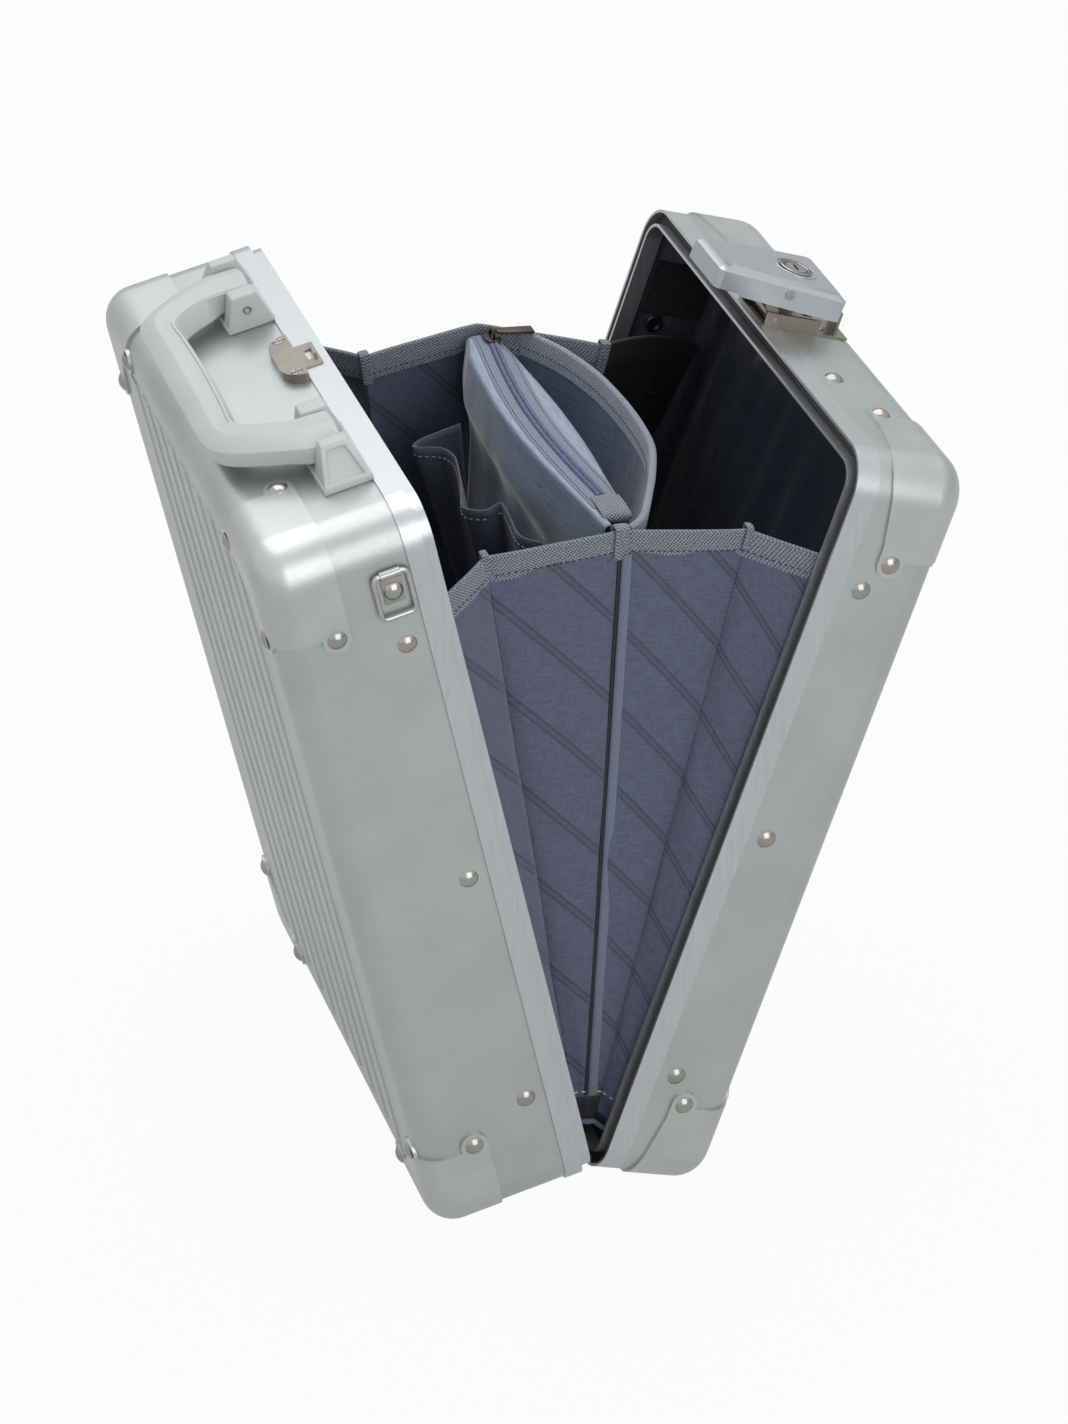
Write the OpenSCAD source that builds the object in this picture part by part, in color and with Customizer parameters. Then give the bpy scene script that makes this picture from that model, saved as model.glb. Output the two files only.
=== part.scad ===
// Upright laptop hard case, shown opened as a V and standing on its hinge side.
// Each half has its own closed frame: the parting plane is x = 0, the hinge side is z = 0,
// z runs up to the handle side and y runs along the hinge. Both halves then lean apart.

/* [Case] */
// Outside width of both halves along the hinge
case_w = 300; // [270:1:360]
// Outside height from the hinge side to the handle side
case_h = 415; // [370:1:480]
// Outside depth of the handle half
depth_a = 82; // [72:1:110]
// Outside depth of the lock half
depth_b = 60; // [56:1:90]
// Lean of the opened handle half from upright, in degrees
lean_a = 12.4; // [10:0.1:15]
// Radius of the upright corners
corner_r = 20; // [19:0.5:24]
// Radius of the edge round each outer panel
edge_r = 15; // [11:0.5:16]
// Thickness of the aluminium shells
wall = 1.5; // [1:0.1:1.8]

/* [Frames] */
// How far the handle frame stands proud of its shell
flange_t = 1.2; // [0.8:0.1:1.6]
// Distance from the parting plane to the seam between frame and shell
seam_s = 12; // [10:0.5:14]
// Distance from the parting plane to the proud band
band_gap = 3; // [2:0.5:4]
// Thickness of the frame legs
frame_t = 1.5; // [1:0.1:1.8]
// Depth of the frame legs behind the shells
frame_reach = 28; // [26:1:32]
// Inset of the tongue from the outer face
tongue_u = 1.9; // [1.9:0.1:2.1]
// Thickness of the tongue
tongue_t = 2.3; // [1.8:0.1:2.6]
// How far the tongue passes the parting plane
tongue_out = 2.6; // [1.5:0.1:3]
// Inset of the floor of the seal channel from the parting plane
channel_s = 6; // [5.5:0.1:7]
// Width of the seal channel from the outer face to the inner lip
channel_w = 7.6; // [7:0.1:8.5]
// Height of the inner lip over the parting plane
lip_out = 1.5; // [0.8:0.1:2]
// Thickness of the rubber seal
seal_t = 1.8; // [1:0.1:2]

/* [Panel ribs] */
// Number of pressed ribs on the handle half
rib_count = 9; // [3:2:9]
// Width of a rib at its foot
rib_w = 13; // [8:0.5:16]
// Height of a rib
rib_t = 0.8; // [0.5:0.1:1]
// Distance between the ribs
rib_pitch = 24; // [18:0.5:25]
// Distance from a rib's end to the case edge
rib_end = 27; // [27:1:60]

/* [Corner caps] */
// Thickness of the corner caps
cap_t = 1.5; // [1:0.1:2]
// Reach of a cap along the hinge side
cap_a = 55; // [50:1:60]
// Reach of a cap up the case
cap_b = 49; // [45:1:54]
// Radius of the lobe round each rivet
lobe_r = 7; // [6:0.5:8]
// Distance from the outer panel to the rivets of the cap
cap_rivet_in = 28.5; // [26:0.5:30]
// How far the lock half's caps bulge towards the frame at the corner
cap_bulge = 6; // [3:0.5:7]
// Inset of the panel rivets from the case edge
panel_rivet_in = 16; // [13:0.5:18]

/* [Rivets] */
// Diameter of a dome head
rivet_d = 9.8; // [8:0.1:11]
// Height of a dome head
rivet_h = 2.3; // [1.5:0.1:2.8]
// Diameter of a rivet's shank
shank_d = 3.2; // [2.5:0.1:4]
// Distance of the frame rivets from the parting plane
frame_rivet_s = 22; // [20:0.5:24]
// Distance of the outer frame rivets from the case ends
frame_rivet_q = 67; // [64:1:75]
// Distance of the frame rivets on the lock half's top from its middle
top_rivet_y = 55; // [45:1:70]

/* [Hinge] */
// Distance of the hinge axis below the case
hinge_drop = 4.2; // [4.1:0.1:5.5]
// Radius of the hinge barrels
barrel_r = 2.6; // [2.4:0.1:2.8]
// Diameter of the hinge pins
hinge_pin_d = 2.4; // [2:0.1:2.6]
// Thickness of the hinge leaves
leaf_t = 1.2; // [1:0.1:1.4]
// Length of one barrel
barrel_l = 12; // [10:0.5:14]
// Distance of each hinge from the middle
hinge_y = 80; // [60:1:95]
// Reach of a leaf from the hinge axis
leaf_w = 13; // [12:0.5:16]

/* [Carry handle] */
// Distance of the handle pins from the parting plane
pivot_s = 23.7; // [22:0.1:26]
// Height of the handle pins over the case
pivot_h = 11; // [10.5:0.1:12]
// Inner end of a handle bracket from the middle
bracket_y = 57; // [54:1:60]
// Length of a handle bracket
bracket_l = 54; // [52:1:60]
// Height of the bracket's inner ear
ear_h = 22; // [20:0.5:24]
// How much higher the outer ear stands
ear_rise = 3; // [1:0.5:4]
// Thickness of the inner ear
inner_ear_t = 9; // [7:0.5:10]
// Thickness of the outer ear
outer_ear_t = 11; // [9:0.5:12]
// Width of a bracket across the case
bracket_w = 23.5; // [22:0.5:25]
// Thickness of the bracket's foot
bracket_foot = 3; // [2:0.5:3.5]
// Distance of the grip's outer face from the parting plane
grip_s = 77; // [70:1:80]
// Width of the grip
grip_w = 19; // [16:0.5:21]
// Thickness of the handle
grip_t = 10; // [8:0.5:11]
// Half length of the grip's outer face
grip_y = 68; // [64:1:72]
// Diameter of the handle pins
handle_pin_d = 5; // [4:0.2:6]

/* [Strap rings] */
// Height of the ring's bar below the top of the case
ring_down = 25.5; // [22:0.5:40]
// Distance of the ring's middle from the parting plane
ring_s = 22.2; // [22:0.1:24]
// Outside width of a ring
ring_w = 19.5; // [17:0.5:21]
// Outside height of a ring
ring_h = 26; // [24:0.5:30]
// Diameter of the ring's wire
wire_d = 2.5; // [2:0.1:3]
// Thickness of the folded clip
clip_t = 1; // [0.8:0.1:1.2]
// Width of the folded clip
clip_w = 10; // [8:0.5:10.5]

/* [Latch] */
// Distance of the latch from the middle of the case
latch_y = 12; // [-20:1:20]
// Distance of the base pin from the parting plane
base_pin_s = 8; // [6.5:0.5:9]
// Height of the base pin over the case
base_pin_h = 4.6; // [4.5:0.1:5]
// Length of the link between its two pins
link_l = 15; // [14:0.5:15.5]
// Angle of the link when the latch is open, in degrees
link_open = 120; // [110:1:125]
// Tilt of the open cover, in degrees
cover_tilt = 3.3; // [1:0.1:4]
// Length of the cover
cover_l = 70; // [66:1:74]
// Width of the cover's narrow end
cover_w1 = 38.5; // [38.5:0.5:42]
// Width of the cover's wide end
cover_w2 = 50; // [46:0.5:54]
// Height of the cover
cover_h = 12.4; // [12:0.2:14]
// Thickness of the cover
cover_t = 1.5; // [1.2:0.1:1.8]
// Width of the bevel round the cover's top
cover_bevel = 4; // [2:0.5:5]
// Diameter of the latch pins
latch_pin_d = 3; // [2.5:0.1:3.2]
// Diameter of the key cylinder
key_d = 11; // [9:0.5:12]

/* [Fabric] */
// Height of the fabric's bound edge over the hinge axis
cloth_top = 362; // [330:1:365]
// Height of the fabric's hem over the hinge axis
cloth_low = 34; // [30:1:44]
// Thickness of the fabric panels
cloth_t = 0.8; // [0.6:0.1:1]
// Thickness of the lining boards
lining_t = 1.7; // [1:0.1:2]
// Angle of the divider from upright, in degrees
divider_a = 3; // [2.8:0.1:3.2]
// Largest width of the zipped pouch
pouch_w = 32; // [24:1:34]
// Height of the zipped pouch
pouch_h = 205; // [150:1:240]
// Near end of the zipped pouch
pouch_near = -79; // [-95:1:-70]
// Far end of the zipped pouch
pouch_far = 101; // [80:1:101]

/* [Hidden] */
$fn = 48;

// Clearances
run_gap = 0.06;    // radial clearance of a pin that turns in its bore
side_gap = 0.3;    // clearance between pieces that pass each other
cut = 1;           // how far a cutting solid passes the face that it cuts

// Straight lengths of the rounded outline
flat_w = case_w - 2 * corner_r;
flat_h = case_h - 2 * corner_r;

// The lock half leans until its bottom caps touch the floor that the handle half stands on
arc_up = edge_r + hinge_drop;
arc_height = arc_up * cos(lean_a) - (depth_a - edge_r) * sin(lean_a);
lock_arm = norm([arc_up, depth_b - edge_r]);
lean_b = acos(arc_height / lock_arm) - atan2(depth_b - edge_r, arc_up);
hinge_z = edge_r + cap_t - arc_height;

// The hinge line stands off the middle so that the outermost points lie alike on both sides:
// the upper rivets of each outer panel, or the folded handle
ball_r = (pow(rivet_d / 2, 2) + pow(rivet_h, 2)) / (2 * rivet_h);
function rivet_reach(depth, lean) = (depth + cap_t + rivet_h - ball_r) * cos(lean)
    + (case_h - panel_rivet_in + hinge_drop) * sin(lean) + ball_r;
grip_reach = grip_s * cos(lean_a) + (case_h + pivot_h + grip_t + hinge_drop) * sin(lean_a);
hinge_x = (max(rivet_reach(depth_a, lean_a), grip_reach) - rivet_reach(depth_b, lean_b)) / 2;

// Outline of the halves: start, turn and length of each straight wall, middle and turn of each corner
WALLS = [
    [[-flat_w / 2, 0], 90, flat_w],
    [[case_w / 2, corner_r], 180, flat_h],
    [[flat_w / 2, case_h], 270, flat_w],
    [[-case_w / 2, case_h - corner_r], 0, flat_h]
];
CORNERS = [
    [[flat_w / 2, corner_r], -90],
    [[flat_w / 2, case_h - corner_r], 0],
    [[-flat_w / 2, case_h - corner_r], 90],
    [[-flat_w / 2, corner_r], 180]
];

// Rivet places
cap_rivet_a = cap_a + 2;
cap_rivet_b = cap_b + 2;
hole_d = shank_d + 2 * run_gap;
rivet_grip = wall + frame_t;

// Carry handle pieces
inner_slant = 4.5;
outer_slant = 4;
recess_in = 3;
recess_t = 1;
pin_head_t = 1;
arm_root = 16;     // length of the plain end of an arm behind its pin
arm_front = 5;     // and before its pin
arm_low = 1.5;     // how far the plain end lies below the grip's face
hub_d = 13;
elbow_part = 0.45; // place of the elbow between the pin and the grip's outer face

// Latch pieces, measured from the link pin inside the cover
cover_left = -(link_l + base_pin_s + 9.5);
cover_low = -2;
skirt_drop = 1.4;
skirt_step = 14.5;
base_half = 16.5;
base_wall = 1.5;
base_floor = 1.2;
base_top = 8;
arm_t = 2;
arm_out = base_half - base_wall - side_gap;
lug_out = arm_out - arm_t - side_gap;
lug_t = 2.8;
eye_r = 2.6;
arm_r = 3;
base_from = 2;
base_to = 50;
base_side = 18;      // how much shorter the base's side walls are than its floor
base_head_d = 5.5;
base_head_t = 0.8;
BASE_RIVETS = [[0, 15], [8, 37], [-8, 37]];   // [along the hinge, from the parting plane]
key_x = cover_left + 0.7 * cover_l;
key_len = 9;
cam_t = 1.5;
cam_l = 8.2;
catch_w = 10;
catch_in = 2.5;
bezel_w = 15;
bezel_l = 18;
bezel_t = 0.8;
claw_x = cover_left + cover_t + 0.6;
claw_t = 1.5;
claw_half = 4.5;
claw_low = -3;
hook_z = 4.3;
cover_top = cover_low + cover_h;
ceiling = cover_top - cover_t;
claw_s = base_pin_s + link_l + claw_x;

// Strike plate on the handle half
strike_to = seam_s + side_gap;
strike_w = 11.5;
strike_half = 21;
strike_h = 5;
tab_half = 11;
tab_t = 1;
lip_h = 3.4;
lip_t = 1.5;
screw_y = 16.5;
screw_d = 6;
sink_h = 1.5;      // depth of the countersinks
screw_h = 1.2;     // height of a screw's head
slot_w = 0.8;      // width and depth of the screws' slots
tab_end = 2.4;     // distance of the tab's end from the parting plane
claw_gap = 0.8;    // clearance of the draw hook in its slot

// Hinge
knuckles = 5;
knuckle_gap = 0.3;
barrel_clear = barrel_r + 0.4;

// Ring
bar_out = wire_d / 2 + run_gap + clip_t;
ring_z = case_h - ring_down;
ring_turn = 3;
clip_drop = 17;
ring_rivet_z = ring_z - 10.5;

// Fabric: folds of the sides as [angle, y at the bound edge, y at the hem, angle at the hem]
fold_r = cloth_t / 2;
edge_in = 6;
lining_in = wall + frame_t + side_gap;
handle_edge_y = case_w / 2 - lining_in - lining_t - side_gap - fold_r;
lip_t_in = 1.6;
lock_edge_y = case_w / 2 - channel_w - lip_t_in - side_gap - fold_r;
tray_r = edge_r - lining_in - lining_t;    // inner radius of the lined tray's edge
deep_out = (tray_r - fold_r - side_gap) * sin(45);
deep_in = depth_b - edge_r + deep_out;
deep_y = case_w / 2 - edge_r + deep_out;
near_y = -117;
far_y = 107;
NEAR_FOLDS = [
    [-7.8, near_y, -126, -7.8],
    [divider_a, near_y, -128, divider_a],
    [13.2, near_y - 2, -128, 13.2]
];
FAR_FOLDS = [
    [-7.2, 94, 118, -7.2],
    [divider_a, far_y, 126, divider_a],
    [12.5, 80, 118, 12.5]
];
// Mouths of the slack panel and the pen pocket as [angle, y]
SLACK = [
    [5.6, 95], [7.7, 78], [9.2, 51], [10.1, 18], [10.2, -16], [9.6, -45], [8.1, -71], [5.9, -99], [4.6, -113]
];
near_flare = 9;    // how much longer the divider is at its foot, at either end
far_flare = 14;
slack_low = 120;
floor_l = 236;     // length of the bag's floor along the hinge
floor_past = 9;    // how many degrees it reaches past each parting plane
POCKET = [[-4.6, 45], [-3.6, 29], [-4.2, 19], [-4.6, -25]];
pocket_ends = [56, -60];
pocket_top = 330;
pocket_low = 190;
pouch_top = 357.5;
pouch_low = pouch_top - pouch_h;
pouch_seam = 3;
pocket_gap = 1;    // clearance between the pen pocket and the pouch
zip_off = 4;       // how far the zip lies from the divider's plane
zip_w = 6;
zip_t = 1.6;
slider_l = 11;
slider_w = 9;
slider_t = 1.6;
slider_y = pouch_far - slider_l / 2 - 1;
post_t = 1.6;
bail_h = 4.4;
bail_l = 6;
bail_d = 1.5;
pull_l = 22;
pull_w = 7;
pull_t = 1.4;

// ---- Frames of reference ----

module in_handle_half() {
    translate([hinge_x, 0, hinge_z]) rotate([0, -lean_a, 0]) translate([0, 0, hinge_drop]) children();
}

module in_lock_half() {
    translate([hinge_x, 0, hinge_z]) rotate([0, lean_b, 0]) translate([0, 0, hinge_drop]) children();
}

// Plane through the hinge axis at an angle from upright; z is the distance from the axis
module in_fan(angle) {
    translate([hinge_x, 0, hinge_z]) rotate([0, angle, 0]) children();
}

// Plan of a half: x along the hinge, y up the case, z outward from the parting plane
module handle_plan() {
    in_handle_half() mirror([1, 0, 0]) rotate([90, 0, 90]) children();
}

module lock_plan() {
    in_lock_half() rotate([90, 0, 90]) children();
}

// Middle of the link pin inside the cover, and the link with its length along x
module in_cover() {
    in_lock_half()
        translate([base_pin_s + link_l * cos(link_open), latch_y, case_h + base_pin_h + link_l * sin(link_open)])
        rotate([0, cover_tilt, 0]) children();
}

module in_link() {
    in_lock_half() translate([base_pin_s, latch_y, case_h + base_pin_h]) rotate([0, -link_open, 0]) children();
}

module both_sides() {
    for (m = [0, 1]) mirror([0, m, 0]) children();
}

// A round bar along y, centred
module cross_bar(d, l) {
    rotate([90, 0, 0]) cylinder(d = d, h = l, center = true);
}

// ---- Swept sections: x inward from the outer face, y outward from the parting plane ----

module around() {
    for (w = WALLS) translate(w[0]) rotate([90, 0, w[1]]) linear_extrude(w[2]) children();
    for (c = CORNERS) translate(c[0]) rotate([0, 0, c[1]]) rotate_extrude(angle = 90) corner_section() children();
}

module corner_section() {
    translate([corner_r, 0]) mirror([1, 0]) children();
}

// Wall, rounded edge and rim of the outer panel, whose parts meet at straight joints
module pan_section(inset, depth, rim, t) {
    r = edge_r - inset;
    translate([inset, rim]) square([t, depth - edge_r - rim]);
    translate([edge_r, depth - edge_r]) intersection() {
        difference() {
            circle(r, $fn = 64);
            circle(r - t, $fn = 64);
        }
        translate([-r - cut, 0]) square(r + cut);
    }
    translate([edge_r, depth - inset - t]) square([corner_r - edge_r, t]);
}

module pan(inset, depth, rim, t) {
    around() pan_section(inset, depth, rim, t);
    translate([-flat_w / 2, corner_r, depth - inset - t]) cube([flat_w, flat_h, t]);
}

// ---- Rivets ----

module rivet_head() {
    rotate_extrude() intersection() {
        translate([0, rivet_h - ball_r]) circle(ball_r, $fn = 96);
        square([rivet_d, rivet_h]);
    }
}

// A rivet whose head lies on a face at height lift over the shell
module rivet(lift, grip) {
    translate([0, 0, lift]) rivet_head();
    translate([0, 0, -grip]) cylinder(d = shank_d, h = grip + lift + rivet_h / 2);
}

module rivet_hole() {
    translate([0, 0, -rivet_grip - cut]) cylinder(d = hole_d, h = rivet_grip + cap_t + 2 * cut);
}

// Four corners of a plan, each drawn as the one at the hinge side on +x
module four_corners() {
    for (m = [0, 1]) mirror([m, 0, 0]) {
        children();
        translate([0, case_h, 0]) mirror([0, 1, 0]) children();
    }
}

module cap_rivet_places(depth) {
    s = depth - cap_rivet_in;
    four_corners() {
        translate([case_w / 2, cap_rivet_b, s]) rotate([0, 90, 0]) children();
        translate([case_w / 2 - cap_rivet_a, 0, s]) rotate([90, 0, 0]) children();
        translate([case_w / 2 - panel_rivet_in, cap_b, depth]) children();
        translate([case_w / 2 - cap_a, panel_rivet_in, depth]) children();
    }
}

module side_rivet_places() {
    for (m = [0, 1], q = [frame_rivet_q, case_h / 2, case_h - frame_rivet_q]) mirror([m, 0, 0])
        translate([case_w / 2, q, frame_rivet_s]) rotate([0, 90, 0]) children();
}

module top_rivet_places() {
    for (m = [-1, 1]) translate([m * top_rivet_y, case_h, frame_rivet_s]) rotate([-90, 0, 0]) children();
}

// ---- Handle half ----

module rib() {
    slope = 2 * rib_t;
    rotate([90, 0, 0]) translate([0, 0, -(case_h - rib_end)]) linear_extrude(case_h - 2 * rib_end)
        polygon([[-rib_w / 2, 0], [rib_w / 2, 0], [rib_w / 2 - slope, rib_t], [slope - rib_w / 2, rib_t]]);
}

module handle_shell() color([0.68, 0.70, 0.70]) {
    rim = band_gap + frame_t;
    handle_plan() difference() {
        union() {
            pan(0, depth_a, rim, wall);
            for (i = [0 : rib_count - 1]) translate([(i - (rib_count - 1) / 2) * rib_pitch, 0, depth_a]) rib();
        }
        cap_rivet_places(depth_a) rivet_hole();
        side_rivet_places() rivet_hole();
    }
}

module handle_frame_section() {
    translate([-flange_t, band_gap]) square([flange_t, seam_s - band_gap]);
    translate([-flange_t, band_gap]) square([flange_t + tongue_u + tongue_t, frame_t]);
    translate([wall, band_gap]) square([frame_t, frame_reach - band_gap]);
    translate([tongue_u, -tongue_out]) square([tongue_t, tongue_out + band_gap + frame_t]);
}

module handle_frame() color([0.74, 0.75, 0.75]) {
    handle_plan() difference() {
        around() handle_frame_section();
        side_rivet_places() rivet_hole();
    }
}

module cap_section(depth, rim) {
    pan_section(-cap_t, depth, rim, cap_t);
}

module cap_blank(depth, rim) {
    reach = cap_rivet_a + lobe_r - corner_r;
    translate([flat_w / 2 - reach, 0, 0]) rotate([90, 0, 90]) linear_extrude(reach) cap_section(depth, rim);
    translate([case_w / 2, corner_r, 0]) rotate([90, 0, 180]) linear_extrude(reach) cap_section(depth, rim);
    translate(CORNERS[0][0]) rotate([0, 0, CORNERS[0][1]]) rotate_extrude(angle = 90)
        corner_section() cap_section(depth, rim);
    translate([flat_w / 2 - reach, corner_r, depth]) cube([reach, reach, cap_t]);
}

// Outline of a cap seen from the outer panel, with a hollow edge between its two lobes
module cap_outline() {
    hollow_r = cap_b - 9;
    translate([case_w / 2, 0]) mirror([1, 0]) {
        difference() {
            translate([-2 * cap_t, -2 * cap_t]) square([cap_a + 2 * cap_t, cap_b + 2 * cap_t]);
            translate([cap_a + 8, cap_b + 8]) circle(hollow_r, $fn = 64);
        }
        translate([panel_rivet_in, cap_b]) circle(lobe_r);
        translate([cap_a, panel_rivet_in]) circle(lobe_r);
    }
}

module corner_cap(depth, rim) {
    s = depth - cap_rivet_in;
    thick = 2 * cap_t + 1;
    intersection() {
        cap_blank(depth, rim);
        union() {
            linear_extrude(depth + 2 * cap_t) cap_outline();
            translate([case_w / 2 - thick / 2, cap_rivet_b, s]) rotate([0, 90, 0]) cylinder(r = lobe_r, h = thick);
            translate([case_w / 2 - cap_rivet_a, thick / 2, s]) rotate([90, 0, 0]) cylinder(r = lobe_r, h = thick);
        }
    }
}

module handle_caps() color([0.72, 0.73, 0.73]) {
    handle_plan() difference() {
        four_corners() corner_cap(depth_a, depth_a - cap_rivet_in - lobe_r);
        cap_rivet_places(depth_a) rivet_hole();
    }
}

module handle_rivets() color([0.75, 0.73, 0.70]) {
    handle_plan() {
        cap_rivet_places(depth_a) rivet(cap_t, wall);
        side_rivet_places() rivet(0, rivet_grip);
    }
}

module handle_lining() color([0.27, 0.31, 0.38]) {
    handle_plan() pan(lining_in, depth_a, seam_s - 4, lining_t);
}

// ---- Lock half ----

module lock_shell() color([0.68, 0.70, 0.70]) {
    lock_plan() difference() {
        pan(0, depth_b, seam_s, wall);
        cap_rivet_places(depth_b) rivet_hole();
        side_rivet_places() rivet_hole();
        top_rivet_places() rivet_hole();
        base_rivet_places() rivet_hole();
    }
}

module lock_frame_section() {
    square([wall, seam_s]);
    translate([0, channel_s]) square([channel_w + lip_t_in, lip_t_in]);
    translate([wall, channel_s]) square([frame_t, frame_reach - channel_s]);
    translate([channel_w, -lip_out]) square([lip_t_in, lip_out + channel_s + lip_t_in]);
}

module lock_frame() color([0.74, 0.75, 0.75]) {
    lock_plan() difference() {
        around() lock_frame_section();
        side_rivet_places() rivet_hole();
        top_rivet_places() rivet_hole();
        base_rivet_places() rivet_hole();
    }
}

module frame_seal() color([0.10, 0.10, 0.11]) {
    lock_plan() around() translate([wall + side_gap, channel_s - seal_t])
        square([channel_w - wall - 2 * side_gap, seal_t]);
}

// Trims the edge of a lock cap so that it bulges towards the frame at the corner
module bulge_trim(rim) {
    reach = cap_rivet_a + 2 * lobe_r;
    linear_extrude(2 * corner_r, center = true)
        polygon([
            [corner_r / 2, rim - cut], [corner_r / 2, rim], [cap_b - lobe_r, rim + cap_bulge],
            [reach, rim + cap_bulge], [reach, rim - cut]
        ]);
}

module lock_caps() color([0.72, 0.73, 0.73]) {
    rim = depth_b - cap_rivet_in - lobe_r - cap_bulge;
    lock_plan() difference() {
        four_corners() difference() {
            corner_cap(depth_b, rim);
            translate([case_w / 2, 0, 0]) rotate([90, 0, 90]) bulge_trim(rim);
            translate([case_w / 2, 0, 0]) rotate([90, 0, 180]) bulge_trim(rim);
        }
        cap_rivet_places(depth_b) rivet_hole();
    }
}

module lock_rivets() color([0.75, 0.73, 0.70]) {
    lock_plan() {
        cap_rivet_places(depth_b) rivet(cap_t, wall);
        side_rivet_places() rivet(0, rivet_grip);
        top_rivet_places() rivet(0, rivet_grip);
    }
}

module lock_lining() color([0.27, 0.31, 0.38]) {
    lock_plan() pan(lining_in, depth_b, channel_s + lip_t_in + side_gap, lining_t);
}

// ---- Hinges ----

// Places of one leaf's barrels, from the given first place on
module barrels(first) {
    for (i = [first : 2 : knuckles - 1]) translate([0, (i - (knuckles - 1) / 2) * barrel_l, 0])
        children();
}

module barrel_bore(bore_d) {
    cross_bar(bore_d, knuckles * barrel_l + 2 * cut);
}

module leaf_strip(from, to, low, l) {
    translate([from, -l / 2, low]) cube([to - from, l, leaf_t]);
}

module hinge_leaf_handle() color([0.62, 0.63, 0.63]) {
    low = hinge_drop - flange_t - leaf_t;
    in_handle_half() for (y = [-hinge_y, hinge_y]) translate([0, y, -hinge_drop]) difference() {
        union() {
            leaf_strip(-leaf_w, -barrel_clear, low, knuckles * barrel_l);
            barrels(0) {
                cross_bar(2 * barrel_r, barrel_l - knuckle_gap);
                leaf_strip(-barrel_clear - cut, -barrel_r / 2, low, barrel_l - knuckle_gap);
            }
        }
        barrel_bore(hinge_pin_d + run_gap / 2);
    }
}

module hinge_leaf_lock() color([0.62, 0.63, 0.63]) {
    low = hinge_drop - leaf_t;
    web_x = barrel_r - leaf_t;
    in_lock_half() for (y = [-hinge_y, hinge_y]) translate([0, y, -hinge_drop]) difference() {
        union() {
            leaf_strip(barrel_clear, leaf_w, low, knuckles * barrel_l);
            barrels(1) {
                cross_bar(2 * barrel_r, barrel_l - knuckle_gap);
                leaf_strip(web_x, barrel_clear + cut, low, barrel_l - knuckle_gap);
                translate([web_x, (knuckle_gap - barrel_l) / 2, 0])
                    cube([leaf_t, barrel_l - knuckle_gap, hinge_drop]);
            }
        }
        barrel_bore(hinge_pin_d + 2 * run_gap);
    }
}

module hinge_pins() color([0.55, 0.55, 0.55]) {
    in_handle_half() for (y = [-hinge_y, hinge_y]) translate([0, y, -hinge_drop])
        cross_bar(hinge_pin_d, knuckles * barrel_l);
}

// ---- Carry handle and its brackets ----

// Ear outline across the case: x towards the parting plane from the pin, y up from the case
module ear_outline(h, slant) {
    foot_in = pivot_s - seam_s - side_gap;
    foot_out = bracket_w - foot_in;
    polygon([[-foot_out, 0], [foot_in, 0], [foot_in - slant, h], [slant - foot_out, h]]);
}

module bracket() {
    end = bracket_y + bracket_l;
    foot_in = pivot_s - seam_s - side_gap;
    pin_end = end - outer_ear_t / 2;
    translate([-pivot_s, 0, case_h]) difference() {
        union() {
            translate([foot_in - bracket_w, bracket_y, 0]) cube([bracket_w, bracket_l, bracket_foot]);
            translate([0, bracket_y + inner_ear_t, 0]) rotate([90, 0, 0]) linear_extrude(inner_ear_t)
                ear_outline(ear_h, inner_slant);
            translate([0, end, 0]) rotate([90, 0, 0]) linear_extrude(outer_ear_t)
                ear_outline(ear_h + ear_rise, outer_slant);
        }
        translate([0, pin_end, pivot_h]) rotate([90, 0, 0])
            cylinder(d = handle_pin_d + run_gap, h = pin_end - bracket_y + cut);
        translate([0, end + cut, 0]) rotate([90, 0, 0]) linear_extrude(recess_t + cut) offset(delta = -recess_in)
            ear_outline(ear_h + ear_rise, outer_slant);
    }
}

module bracket_near() color([0.76, 0.77, 0.77]) in_handle_half() mirror([0, 1, 0]) bracket();
module bracket_far() color([0.76, 0.77, 0.77]) in_handle_half() bracket();

// A bar of the handle between two plan points, bevelled along its upper edges
module bar(a, ra, b, rb) {
    bevel = grip_t * 0.3;
    hull() for (e = [[a, ra], [b, rb]]) {
        translate([e[0][0], e[0][1], 0]) cylinder(r = e[1], h = grip_t - bevel, $fn = 24);
        translate([e[0][0], e[0][1], 0]) cylinder(r = e[1] - bevel, h = grip_t, $fn = 24);
    }
}

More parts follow.
